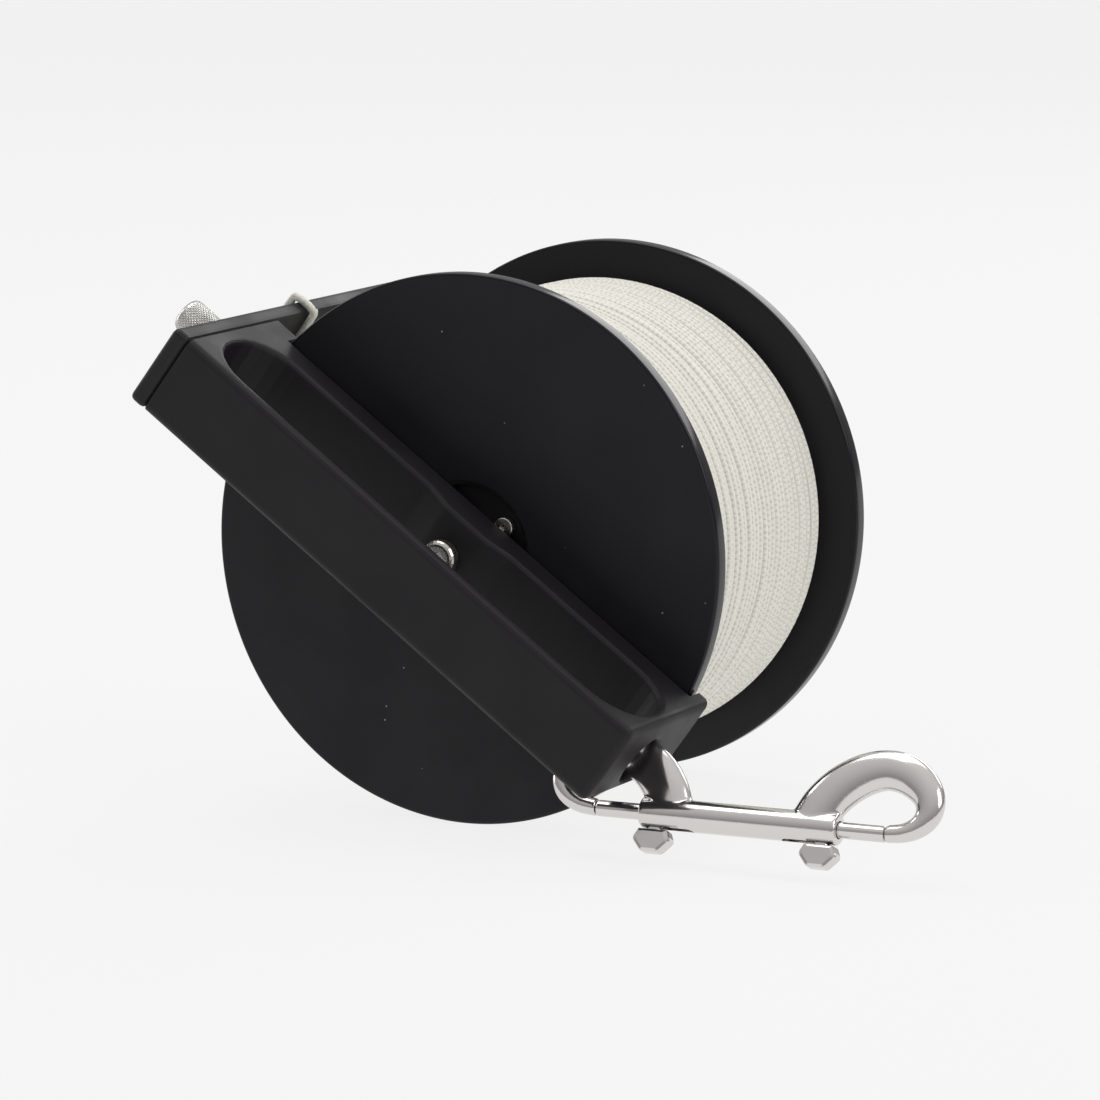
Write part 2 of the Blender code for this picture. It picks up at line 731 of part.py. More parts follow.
axle_corners = [
    (0, axle_end),
    (AXLE_RADIUS, axle_end),
    (AXLE_RADIUS, axle_seat),
    (AXLE_HEAD_RADIUS, axle_seat),
    (AXLE_HEAD_RADIUS, axle_head),
    (0, axle_head),
]
axle_profile = fillet(axle_corners, [0, 0.5 * MM, 0, 0, AXLE_HEAD_EDGE, 0], 4, closed=False)
axle_bolt = turned("axle_bolt", axle_profile, STEEL, PART_STEPS, **on_axis())
axle_socket = place(
    "axle_socket",
    prism(
        hexagon(AXLE_SOCKET_FLATS),
        axle_head - CUT_THROUGH,
        axle_head + AXLE_SOCKET_DEPTH,
        "axle_socket",
    ),
    None,
    **on_axis(),
)
combine(axle_bolt, axle_socket, "DIFFERENCE")
baked(axle_bolt)

washer("axle_sleeve", AXLE_RADIUS + GAP, SLEEVE_RADIUS, sleeve_low, sleeve_high, STEEL, **on_axis())
running = SLEEVE_RADIUS + GAP
for name, low, high in (
    ("front_thrust_washer", sleeve_low, thrust_high),
    ("rear_thrust_washer", rear_thrust_low, sleeve_high),
):
    washer(name, running, THRUST_WASHER_RADIUS, low, high, NYLON, WASHER_EDGE, **on_axis())
washer(
    "rear_washer",
    AXLE_RADIUS + GAP,
    REAR_WASHER_RADIUS,
    rear_washer_low,
    rear_washer_low + REAR_WASHER_THICKNESS,
    STEEL,
    STEEL_WASHER_EDGE,
    **on_axis(),
)
nut("axle_nut", NUT_ACROSS_FLATS, NUT_HEIGHT, AXLE_RADIUS + GAP, STEEL, **on_axis(nut_low))

for name, lip, inner, far in (
    ("front_bushing", lip_front, recess_floor - FACE_GAP, recess_floor + BUSHING_LENGTH),
    ("rear_bushing", lip_back, rear_floor + FACE_GAP, rear_floor - BUSHING_LENGTH),
):
    bushing_profile = [
        (running, lip),
        (BUSHING_LIP_RADIUS, lip),
        (BUSHING_LIP_RADIUS, inner),
        (BUSHING_RADIUS, inner),
        (BUSHING_RADIUS, far),
        (running, far),
    ]
    if lip < far:
        bushing_profile.reverse()
    baked(turned(name, bushing_profile, BUSHING_PLASTIC, PART_STEPS, ring=True, **on_axis()))


# Spool flanges, drum, screws and line

def flange_corners(outside, inside):
    """A flange's profile from its bore out and back, with the recess on its outside face."""
    step = math.copysign(1.0, inside - outside)
    floor = outside + step * RECESS_DEPTH
    bore_radius = BUSHING_RADIUS + GAP
    corners = [
        (bore_radius, floor),
        (RECESS_RADIUS - RECESS_CHAMFER, floor),
        (RECESS_RADIUS - RECESS_CHAMFER, outside + step * RECESS_CHAMFER),
        (RECESS_RADIUS, outside),
        (FLANGE_RADIUS, outside),
        (FLANGE_RADIUS, inside),
        (bore_radius, inside),
    ]
    radii = [0, 0, 0, 0, FLANGE_EDGE, FLANGE_EDGE, 0]
    if step > 0:
        corners.reverse()
        radii.reverse()
    return fillet(corners, radii, EDGE_ARC_STEPS)


def hub_places(y):
    """The places of the hub screws, as keyword arguments."""
    for k in range(HUB_SCREWS):
        angle = HUB_SCREW_ANGLE + k * 2 * math.pi / HUB_SCREWS
        x = HUB_SCREW_CIRCLE * math.cos(angle)
        z = HUB_SCREW_CIRCLE * math.sin(angle)
        yield k + 1, {"location": (x, y, z), "rotation": ALONG_Y}


front_flange = turned(
    "front_flange",
    flange_corners(FLANGE_FRONT_Y, FLANGE_INNER_Y),
    FLANGE_BLACK,
    RIM_STEPS,
    ring=True,
    **on_axis(),
)
rear_flange = turned(
    "rear_flange",
    flange_corners(REAR_FACE_Y, REAR_FLANGE_Y),
    FLANGE_BLACK,
    RIM_STEPS,
    ring=True,
    **on_axis(),
)
drum_low = FLANGE_INNER_Y + FACE_GAP
drum_high = REAR_FLANGE_Y - FACE_GAP
drum_profile = [
    (BUSHING_RADIUS + GAP, drum_high),
    (DRUM_RADIUS, drum_high),
    (DRUM_RADIUS, drum_low),
    (BUSHING_RADIUS + GAP, drum_low),
]
core_drum = turned("core_drum", drum_profile, DRUM_BLACK, PART_STEPS, ring=True, **on_axis())

SHANK_HOLE = HUB_SHANK_RADIUS + GAP
for flange, side, seat, way in (
    (front_flange, "front", recess_floor - FACE_GAP, 1),
    (rear_flange, "rear", rear_floor + FACE_GAP, -1),
):
    for number, where in hub_places(seat):
        tip = way * HUB_SHANK_LENGTH
        hole = sorted((-way * CUT_THROUGH, tip + way * 2 * GAP))
        for piece, label in ((flange, "flange"), (core_drum, "drum")):
            name = f"{side}_{label}_hole_{number}"
            bore(piece, name, SHANK_HOLE, *hole, steps=TINY_STEPS, **where)
        head = -way * HUB_HEAD_HEIGHT
        corners = [
            (0, tip),
            (HUB_SHANK_RADIUS, tip),
            (HUB_SHANK_RADIUS, 0),
            (HUB_HEAD_RADIUS, 0),
            (HUB_HEAD_RADIUS, head),
            (0, head),
        ]
        radii = [0, 0, 0, 0, HUB_HEAD_EDGE, 0]
        if way < 0:
            corners.reverse()
            radii.reverse()
        profile = fillet(corners, radii, EDGE_ARC_STEPS, closed=False)
        hub_screw = turned(f"{side}_hub_screw_{number}", profile, STEEL, TINY_STEPS, **where)
        socket = sorted((head - way * CUT_THROUGH, head + way * HUB_SOCKET_DEPTH))
        hub_socket = place(
            f"{side}_hub_socket_{number}",
            prism(hexagon(math.sqrt(3) * HUB_SOCKET_RADIUS), *socket, "hub_socket"),
            None,
            **where,
        )
        combine(hub_screw, hub_socket, "DIFFERENCE")
        baked(hub_screw)
baked(front_flange)
baked(core_drum)

line_low = FLANGE_INNER_Y + LINE_SIDE_GAP
line_high = REAR_FLANGE_Y - LINE_SIDE_GAP
line_corners = [
    (DRUM_RADIUS + GAP, line_high),
    (LINE_RADIUS - LINE_CROWN, line_high),
    (LINE_RADIUS, (line_low + line_high) / 2),
    (LINE_RADIUS - LINE_CROWN, line_low),
    (DRUM_RADIUS + GAP, line_low),
]
line_profile = fillet(line_corners, [0, LINE_EDGE, 0, LINE_EDGE, 0], EDGE_ARC_STEPS)
baked(turned("line_pack", line_profile, WHITE_LINE, RIM_STEPS, ring=True, **on_axis()))


# Winding knob on the rear flange

def on_knob(y=0.0):
    return {"location": (KNOB_PLACE[0], y, KNOB_PLACE[1]), "rotation": ALONG_Y}


spindle_head = REAR_FLANGE_Y + SPINDLE_HEAD_SUNK
spindle_seat = spindle_head + SPINDLE_HEAD_HEIGHT
knob_washer_low = REAR_FACE_Y + FACE_GAP
knob_low = knob_washer_low + KNOB_WASHER_THICKNESS + FACE_GAP
knob_high = knob_low + KNOB_LENGTH
pocket_floor = knob_high - KNOB_POCKET_DEPTH
knob_nut_low = pocket_floor + FACE_GAP
spindle_end = knob_nut_low + KNOB_NUT_HEIGHT + SPINDLE_PROUD

spindle_steps = [
    (0, REAR_FACE_Y + CUT_THROUGH),
    (SPINDLE_RADIUS + GAP, REAR_FACE_Y + CUT_THROUGH),
    (SPINDLE_RADIUS + GAP, spindle_seat + FACE_GAP),
    (SPINDLE_HEAD_RADIUS + GAP, spindle_seat + FACE_GAP),
    (SPINDLE_HEAD_RADIUS + GAP, REAR_FLANGE_Y - CUT_THROUGH),
    (0, REAR_FLANGE_Y - CUT_THROUGH),
]
spindle_pocket = turned("spindle_pocket", spindle_steps, None, SMALL_STEPS, **on_knob())
combine(rear_flange, spindle_pocket, "DIFFERENCE")
baked(rear_flange)
spindle_corners = [
    (0, spindle_end),
    (SPINDLE_RADIUS, spindle_end),
    (SPINDLE_RADIUS, spindle_seat),
    (SPINDLE_HEAD_RADIUS, spindle_seat),
    (SPINDLE_HEAD_RADIUS, spindle_head),
    (0, spindle_head),
]
spindle_profile = fillet(spindle_corners, [0, 0.4 * MM, 0, 0, 0.3 * MM, 0], 2, closed=False)
baked(turned("knob_spindle", spindle_profile, STEEL, SMALL_STEPS, **on_knob()))
washer(
    "knob_washer",
    SPINDLE_RADIUS + GAP,
    KNOB_WASHER_RADIUS,
    knob_washer_low,
    knob_washer_low + KNOB_WASHER_THICKNESS,
    NYLON,
    WASHER_EDGE,
    **on_knob(),
)
nut("knob_nut", KNOB_NUT_FLATS, KNOB_NUT_HEIGHT, SPINDLE_RADIUS + GAP, STEEL, **on_knob(knob_nut_low))
knob_middle = (knob_low + knob_high) / 2
knob_corners = [
    (SPINDLE_RADIUS + GAP, pocket_floor),
    (KNOB_POCKET_RADIUS, pocket_floor),
    (KNOB_POCKET_RADIUS, knob_high),
    (KNOB_RADIUS, knob_high),
    (KNOB_WAIST_RADIUS, knob_middle),
    (KNOB_RADIUS, knob_low),
    (SPINDLE_RADIUS + GAP, knob_low),
]
knob_profile = fillet(knob_corners, [0, 0, 0, KNOB_EDGE, KNOB_WAIST_ARC, KNOB_EDGE, 0], EDGE_ARC_STEPS)
baked(turned("winding_knob", knob_profile, BLACK_ACETAL, PART_STEPS, ring=True, **on_knob()))


# Line end hitched round the plate

def line_end():
    """A loop round the plate, a knot on its inner side and a short lead on to the wound line."""
    reach = LINE_END_RADIUS + GAP
    outer = PLATE_OUTER - reach
    inner = PLATE_INNER + reach
    edge = HANDLE_HALF_WIDTH + reach
    loop = rounded_rectangle(outer, inner, -edge, edge, LINE_END_CORNER, 5)
    loop_points = [(x, LINE_END_Y, z) for x, z in loop]
    where = {"parent": HANDLE_AXES}
    made = tube_along("line_end", loop_points, LINE_END_RADIUS, WHITE_LINE, cyclic=True, **where)
    knot = Vector((inner + 0.6 * KNOT_RADIUS, LINE_END_Y, KNOT_ACROSS))
    bm = bmesh.new()
    bmesh.ops.create_icosphere(bm, subdivisions=2, radius=KNOT_RADIUS)
    bmesh.ops.scale(bm, verts=bm.verts, vec=KNOT_SHAPE)
    bmesh.ops.translate(bm, verts=bm.verts, vec=knot)
    filler = place("knot_filler", mesh_of(bm, "knot_filler"), None, parent=HANDLE_AXES)
    combine(made, filler, "UNION")
    wrap = LINE_RADIUS + LINE_END_RADIUS + GAP
    lead_points = [knot]
    for k in range(LEAD_POINTS):
        angle = LEAD_START + LEAD_STEP * k
        y = LINE_END_Y + LEAD_RISE * (k + 1)
        lead_points.append(Vector((wrap * math.cos(angle), y, wrap * math.sin(angle))))
    lead = tube_along("lead_filler", lead_points, LINE_END_RADIUS, WHITE_LINE, **where)
    combine(made, lead, "UNION")
    return baked(made)


line_end()


# Double-ended bolt snap

SNAP_AXES = empty("snap_axes", location=SNAP_PLACE, rotation=(-SNAP_LEAN, 0, 0))


def eye_solid(name, side):
    """One cast eye: an oval section swept along the eye's line, tapering to the tip."""
    line = [Vector((side * x * MM, 0, up * MM)) for x, up, _, _ in EYE_LINE]
    rings = []
    for i, point in enumerate(line):
        before = line[max(i - 1, 0)]
        after = line[min(i + 1, len(line) - 1)]
        along = (after - before).normalized()
        if i == len(line) - 1:
            along = Vector((-side, 0, 0))
        across = Vector((along.z, 0, -along.x))
        half_width = EYE_LINE[i][2] * MM
        half_thick = EYE_LINE[i][3] * MM
        ring = []
        for k in range(SECTION_SIDES):
            angle = 2 * math.pi * k / SECTION_SIDES
            level = Vector((0, half_thick * math.sin(angle), 0))
            ring.append(point + across * half_width * math.cos(angle) + level)
        rings.append(ring)
    return place(name, loft(rings, name), None, parent=SNAP_AXES)


snap_body = cylinder(
    "snap_body",
    BARREL_RADIUS,
    -BARREL_HALF,
    BARREL_HALF,
    POLISHED,
    edge=0.6 * MM,
    steps=PART_STEPS,
    rotation=ALONG_X,
    parent=SNAP_AXES,
)
for side, label in ((-1, "left"), (1, "right")):
    combine(snap_body, eye_solid(f"{label}_eye", side), "UNION")
for side, label in ((-1, "left"), (1, "right")):
    ends = sorted((side * BORE_BOTTOM, side * BORE_REACH))
    bore(
        snap_body,
        f"{label}_gate_bore",
        GATE_RADIUS + BORE_CLEARANCE,
        *ends,
        steps=SMALL_STEPS,
        rotation=ALONG_X,
        parent=SNAP_AXES,
    )
    slot_half = STUD_NECK_THICK / 2 + GAP
    slot_ends = sorted(
        (
            side * (STUD_ALONG - GATE_TRAVEL - STUD_NECK_HALF - 2 * GAP),
            side * (STUD_ALONG + STUD_NECK_HALF + 2 * GAP),
        )
    )
    slot = rounded_rectangle(*slot_ends, -slot_half, slot_half, slot_half - 0.05 * MM, 3)
    track_mesh = prism(slot, -STUD_TRACK_DEPTH, 0, "stud_track")
    track = place(f"{label}_stud_track", track_mesh, None, parent=SNAP_AXES)
    combine(snap_body, track, "DIFFERENCE")
baked(snap_body)

for side, label in ((-1, "left"), (1, "right")):
    ends = sorted((side * GATE_INNER, side * GATE_OUTER))
    gate = cylinder(
        f"gate_bolt_{label}",
        GATE_RADIUS,
        *ends,
        POLISHED,
        edge=0.35 * MM,
        steps=SMALL_STEPS,
        rotation=ALONG_X,
        parent=SNAP_AXES,
    )
    neck_outline = rounded_rectangle(
        side * STUD_ALONG - STUD_NECK_HALF,
        side * STUD_ALONG + STUD_NECK_HALF,
        -STUD_NECK_THICK / 2,
        STUD_NECK_THICK / 2,
        1.0 * MM,
        3,
    )
    neck = place(
        f"{label}_stud_neck",
        prism(neck_outline, -STUD_PAD_TOP - 1 * MM, -0.6 * MM, "stud_neck"),
        None,
        parent=SNAP_AXES,
    )
    combine(gate, neck, "UNION")
    stud = [((x * MM + side * STUD_ALONG), z * MM) for x, z in STUD_OUTLINE]
    stud = fillet(stud, [0.6 * MM, 1.4 * MM, 1.6 * MM, 1.6 * MM, 1.4 * MM, 0.6 * MM], 3)
    half = STUD_PAD_THICK / 2
    edge = STUD_PAD_EDGE
    centre = Vector((side * STUD_ALONG, (-STUD_PAD_TOP - STUD_PAD_BOTTOM) / 2))
    levels = (
        (-half, edge),
        (-half + 0.3 * edge, 0.3 * edge),
        (-half + edge, 0),
        (half - edge, 0),
        (half - 0.3 * edge, 0.3 * edge),
        (half, edge),
    )
    rings = []
    for level, inset in levels:
        shrink = 1 - inset / STUD_PAD_REACH
        ring = []
        for x, z in stud:
            moved = centre + (Vector((x, z)) - centre) * shrink
            ring.append((moved.x, level, moved.y))
        rings.append(ring)
    pad = place(f"{label}_stud_pad", loft(rings, "stud_pad"), None, parent=SNAP_AXES)
    combine(gate, pad, "UNION")
    baked(gate)

    coil = []
    low = BORE_BOTTOM + SPRING_WIRE + GAP
    high = GATE_INNER - SPRING_WIRE - GAP
    steps = SPRING_STEPS * SPRING_TURNS
    for k in range(steps + 1):
        angle = 2 * math.pi * SPRING_TURNS * k / steps
        along = low + (high - low) * k / steps
        coil.append((side * along, SPRING_RADIUS * math.cos(angle), SPRING_RADIUS * math.sin(angle)))
    tube_along(f"gate_spring_{label}", coil, SPRING_WIRE, SPRING_STEEL, sides=0, parent=SNAP_AXES)
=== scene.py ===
"""Side-handle line reel with a double-ended bolt snap: the finished look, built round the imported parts.

Metres, +Z up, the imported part's own frame. Each sub-assembly is a class that makes its meshes and
dresses them. Wound line, cord and hub screws come from Geometry Nodes trees built here.
"""

from __future__ import annotations

import json
import logging
import math
from dataclasses import dataclass, field
from enum import Enum
from typing import Any

import bmesh
import bpy
import numpy as np
from mathutils import Matrix, Vector

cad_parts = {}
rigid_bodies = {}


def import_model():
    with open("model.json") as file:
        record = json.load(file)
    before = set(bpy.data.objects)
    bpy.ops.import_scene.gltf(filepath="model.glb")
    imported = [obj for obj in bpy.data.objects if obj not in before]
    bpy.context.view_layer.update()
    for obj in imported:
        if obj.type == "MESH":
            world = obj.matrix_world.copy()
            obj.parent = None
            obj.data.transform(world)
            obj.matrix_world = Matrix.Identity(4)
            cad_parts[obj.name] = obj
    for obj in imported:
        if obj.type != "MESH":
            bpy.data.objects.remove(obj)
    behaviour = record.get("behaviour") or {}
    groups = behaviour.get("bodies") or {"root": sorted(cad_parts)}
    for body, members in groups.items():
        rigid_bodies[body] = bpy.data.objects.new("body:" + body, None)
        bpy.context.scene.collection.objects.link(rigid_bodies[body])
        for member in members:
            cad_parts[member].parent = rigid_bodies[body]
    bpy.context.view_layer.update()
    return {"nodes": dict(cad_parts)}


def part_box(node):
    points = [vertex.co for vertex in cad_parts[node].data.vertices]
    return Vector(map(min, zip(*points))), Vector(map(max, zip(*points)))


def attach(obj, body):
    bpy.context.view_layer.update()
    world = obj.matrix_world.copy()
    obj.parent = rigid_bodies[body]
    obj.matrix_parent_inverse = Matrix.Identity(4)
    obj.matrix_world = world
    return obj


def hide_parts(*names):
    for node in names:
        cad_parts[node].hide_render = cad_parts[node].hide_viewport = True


MM = 0.001
TAU = 2 * math.pi
AXIS_REACH = 1e-6  # a turned profile's ends sit this far off the axis until their points are merged
MERGE_WITHIN = 1e-7
SOFT_EDGE = math.radians(38)  # flatter edges than this are shaded smooth
CAST_SOFT_EDGE = math.radians(50)
LOG = logging.getLogger("line_reel")

Point = tuple[float, float, float]


class Side(Enum):
    """The two ends of the double-ended snap, as the sign of its own X."""

    LEFT = -1
    RIGHT = 1


class Layer(Enum):
    """The layers of line that show on the spool."""

    BASE = "wound_line_base"
    CROSSED = "wound_line_crossed"


def srgb(code: str) -> tuple[float, float, float, float]:
    """Turns an sRGB hex colour into linear light.

    Args:
        code: Six hex digits, with no mark in front.

    Returns:
        Linear red, green, blue and an alpha of one.
    """
    parts = [int(code[i : i + 2], 16) / 255 for i in (0, 2, 4)]
    linear = [p / 12.92 if p <= 0.04045 else ((p + 0.055) / 1.055) ** 2.4 for p in parts]
    return (linear[0], linear[1], linear[2], 1.0)


def add_node(
    tree: bpy.types.NodeTree,
    kind: str,
    values: dict[Any, Any] | None = None,
    links: dict[Any, Any] | None = None,
    **settings: Any,
) -> bpy.types.Node:
    """Adds one node with its settings, socket values and incoming links.

    Args:
        tree: The node tree.
        kind: The node's type name.
        values: Default values by socket name or number.
        links: Source sockets by socket name or number.
        **settings: Attributes of the node itself.

    Returns:
        The new node.
    """
    node = tree.nodes.new(kind)
    for name, value in settings.items():
        setattr(node, name, value)
    for name, value in (values or {}).items():
        node.inputs[name].default_value = value
    for name, source in (links or {}).items():
        tree.links.new(source, node.inputs[name])
    return node


# Finishes


@dataclass(frozen=True)
class Finish:
    """A plain surface: its colour and how it takes light."""

    name: str
    color: str
    metallic: float
    roughness: float
    specular: float = 0.5
    ior: float = 1.5

    def build(self) -> bpy.types.Material:
        """Makes the material.

        Returns:
            A material with a Principled shader and this finish's pattern.
        """
        material = bpy.data.materials.new(self.name)
        material.use_nodes = True
        shader = material.node_tree.nodes["Principled BSDF"]
        shader.inputs["Base Color"].default_value = srgb(self.color)
        shader.inputs["Metallic"].default_value = self.metallic
        shader.inputs["Roughness"].default_value = self.roughness
        shader.inputs["Specular IOR Level"].default_value = self.specular
        if self.metallic < 0.5:
            shader.inputs["IOR"].default_value = self.ior
        self.pattern(material.node_tree, shader)
        return material

    def pattern(self, tree: bpy.types.NodeTree, shader: bpy.types.Node) -> None:
        """Adds nothing: a plain finish has no pattern."""


@dataclass(frozen=True)
class SatinPlastic(Finish):
    """Black acetal, milled or turned and then lightly blasted.

    It gives the eye a wide, soft sheen with no clear reflections, a little glossier where it is rubbed.
    """

    # Blasting leaves pits about 0.3 mm apart; they are drawn at 0.6 mm so that they show.
    grain_mm: float = 0.6
    grain_depth_mm: float = 0.012
    grain_strength: float = 0.35
    # Hands rub patches about 20 mm wide.
    wear_mm: float = 22.0
    worn_roughness: float = 0.10
    # Dust lies as specks about 0.4 mm across, in three of every ten cells of 6 mm.
    dust: bool = False
    dust_color: str = "8d8f94"
    dust_cell_mm: float = 6.0
    dust_radius_mm: float = 0.22
    dust_bare_share: float = 0.70
    # A turned disc's outer edge isn't blasted; zero means that the piece has no such edge.
    rim_mm: float = 0.0
    rim_fade_mm: float = 0.2
    rim_roughness: float = 0.16

    def pattern(self, tree: bpy.types.NodeTree, shader: bpy.types.Node) -> None:
        """Adds the blasted grain, slow changes of gloss and a little dust.

        Args:
            tree: The material's nodes.
            shader: Its Principled shader.
        """
        place = add_node(tree, "ShaderNodeTexCoord").outputs["Object"]
        grain = add_node(
            tree, "ShaderNodeTexNoise", {"Scale": 1 / (self.grain_mm * MM), "Detail": 3.0}, {"Vector": place}
        )
        bump = add_node(
            tree,
            "ShaderNodeBump",
            {"Strength": self.grain_strength, "Distance": self.grain_depth_mm * MM},
            {"Height": grain.outputs["Fac"]},
        )
        tree.links.new(bump.outputs["Normal"], shader.inputs["Normal"])
        wear = add_node(
            tree, "ShaderNodeTexNoise", {"Scale": 1 / (self.wear_mm * MM), "Detail": 6.0}, {"Vector": place}
        )
        gloss = add_node(
            tree,
            "ShaderNodeMapRange",
            {
                "From Min": 0.35,
                "From Max": 0.65,
                "To Min": self.roughness - self.worn_roughness / 2,
                "To Max": self.roughness + self.worn_roughness,
            },
            {"Value": wear.outputs["Fac"]},
        )
        rough = gloss.outputs["Result"]
        if self.rim_mm > 0:
            rough = self.add_turned_rim(tree, place, rough)
        tree.links.new(rough, shader.inputs["Roughness"])
        if self.dust:
            self.add_dust(tree, shader, place)

    def add_turned_rim(
        self, tree: bpy.types.NodeTree, place: bpy.types.NodeSocket, rough: bpy.types.NodeSocket
    ) -> bpy.types.NodeSocket:
        """Makes the disc's outer edge glossier, where the lathe tool cut it last.

        Args:
            tree: The material's nodes.
            place: The object coordinates.
            rough: The roughness of the rest.

        Returns:
            The roughness with the rim's in it.
        """
        off_axis = (1.0, 0.0, 1.0)
        flat = add_node(tree, "ShaderNodeVectorMath", {1: off_axis}, {0: place}, operation="MULTIPLY")
        reach = add_node(tree, "ShaderNodeVectorMath", links={0: flat.outputs[0]}, operation="LENGTH")
        share = add_node(
            tree,
            "ShaderNodeMapRange",
            {"From Min": (self.rim_mm - self.rim_fade_mm) * MM, "From Max": self.rim_mm * MM},
            {"Value": reach.outputs["Value"]},
        )
        mix = add_node(
            tree,
            "ShaderNodeMix",
            {3: self.rim_roughness},
            {0: share.outputs["Result"], 2: rough},
            data_type="FLOAT",
        )
        return mix.outputs[0]

    def add_dust(
        self, tree: bpy.types.NodeTree, shader: bpy.types.Node, place: bpy.types.NodeSocket
    ) -> None:
        """Scatters a few pale specks.

        Args:
            tree: The material's nodes.
            shader: Its Principled shader.
            place: The object coordinates.
        """
        scale = 1 / (self.dust_cell_mm * MM)
        cells = add_node(tree, "ShaderNodeTexVoronoi", {"Scale": scale}, {"Vector": place})
        near = add_node(
            tree,
            "ShaderNodeMath",
            {1: self.dust_radius_mm / self.dust_cell_mm},
            {0: cells.outputs["Distance"]},
            operation="LESS_THAN",
        )
        parts = add_node(tree, "ShaderNodeSeparateColor", links={"Color": cells.outputs["Color"]})
        chosen = add_node(
            tree,
            "ShaderNodeMath",
            {1: self.dust_bare_share},
            {0: parts.outputs["Red"]},
            operation="GREATER_THAN",
        )
        speck = add_node(
            tree, "ShaderNodeMath", links={0: near.outputs[0], 1: chosen.outputs[0]}, operation="MULTIPLY"
        )
        mix = add_node(
            tree,
            "ShaderNodeMix",
            {6: srgb(self.color), 7: srgb(self.dust_color)},
            {0: speck.outputs[0]},
            data_type="RGBA",
        )
        tree.links.new(mix.outputs[2], shader.inputs["Base Color"])


@dataclass(frozen=True)
class BraidedNylon(Finish):
    """Undyed nylon line, braided from eight yarns.

    It gives the eye a matt, warm white with rows of small plaits, with painted shade greying the creases
    between them.
    """

    # Painted shade: the colour that the braid's creases are tinted with, where shade falls between the yarns.
    crease_shade: str = "cfcdc2"
    # A real plait is about 1 mm long; it is drawn at 1.6 mm, with fewer yarns, so that it shows.
    pick_mm: float = 1.6
    yarns_each_way: int = 2
    depth_mm: float = 0.07
    depth_strength: float = 0.7
    # The braid is tighter in some places than in others, over about 3 mm.
    slack_mm: float = 3.0
    slack_turn: float = 9.0
    # Single fibres are far too fine to show; this stands for small tufts of them.
    fibre_mm: float = 0.5
    fibre_share: float = 0.5
    fuzz: float = 0.25
    fuzz_roughness: float = 0.5

    def pattern(self, tree: bpy.types.NodeTree, shader: bpy.types.Node) -> None:
        """Draws the plait from the distance along the line and the turn round it, and paints shade into its
        creases.

        Args:
            tree: The material's nodes.
            shader: Its Principled shader.
        """
        along = add_node(tree, "ShaderNodeAttribute", attribute_name="line_along").outputs["Fac"]
        around = add_node(tree, "ShaderNodeAttribute", attribute_name="line_around").outputs["Fac"]
        place = add_node(tree, "ShaderNodeTexCoord").outputs["Object"]
        per_metre = TAU / (self.pick_mm * MM)
        travel = add_node(tree, "ShaderNodeMath", {1: per_metre}, {0: along}, operation="MULTIPLY")
        turn = add_node(
            tree, "ShaderNodeMath", {1: TAU * self.yarns_each_way}, {0: around}, operation="MULTIPLY"
        )
        slack = add_node(
            tree, "ShaderNodeTexNoise", {"Scale": 1 / (self.slack_mm * MM), "Detail": 1.0}, {"Vector": place}
        )
        travel = add_node(
            tree,
            "ShaderNodeMath",
            {1: self.slack_turn},
            {0: slack.outputs["Fac"], 2: travel.outputs[0]},
            operation="MULTIPLY_ADD",
        )
        waves = []
        for way in ("ADD", "SUBTRACT"):
            phase = add_node(
                tree, "ShaderNodeMath", links={0: travel.outputs[0], 1: turn.outputs[0]}, operation=way
            )
            waves.append(add_node(tree, "ShaderNodeMath", links={0: phase.outputs[0]}, operation="SINE"))
        plait = add_node(
            tree,
            "ShaderNodeMath",
            links={0: waves[0].outputs[0], 1: waves[1].outputs[0]},
            operation="MAXIMUM",
        )
        fibre = add_node(
            tree, "ShaderNodeTexNoise", {"Scale": 1 / (self.fibre_mm * MM), "Detail": 2.0}, {"Vector": place}
        )
        height = add_node(
            tree,
            "ShaderNodeMath",
            {1: self.fibre_share},
            {0: fibre.outputs["Fac"], 2: plait.outputs[0]},
            operation="MULTIPLY_ADD",
        )
        bump = add_node(
            tree,
            "ShaderNodeBump",
            {"Strength": self.depth_strength, "Distance": self.depth_mm * MM},
            {"Height": height.outputs[0]},
        )
        tree.links.new(bump.outputs["Normal"], shader.inputs["Normal"])
        # Painted shade: the plait's low parts are coloured towards the crease colour, which is shade painted
        # in.
        shade = add_node(
            tree, "ShaderNodeMapRange", {"From Min": -0.7, "From Max": 0.35}, {"Value": plait.outputs[0]}
        )
        mix = add_node(
            tree,
            "ShaderNodeMix",
            {6: srgb(self.crease_shade), 7: srgb(self.color)},
            {0: shade.outputs["Result"]},
            data_type="RGBA",
        )
        tree.links.new(mix.outputs[2], shader.inputs["Base Color"])
        shader.inputs["Sheen Weight"].default_value = self.fuzz
        shader.inputs["Sheen Roughness"].default_value = self.fuzz_roughness


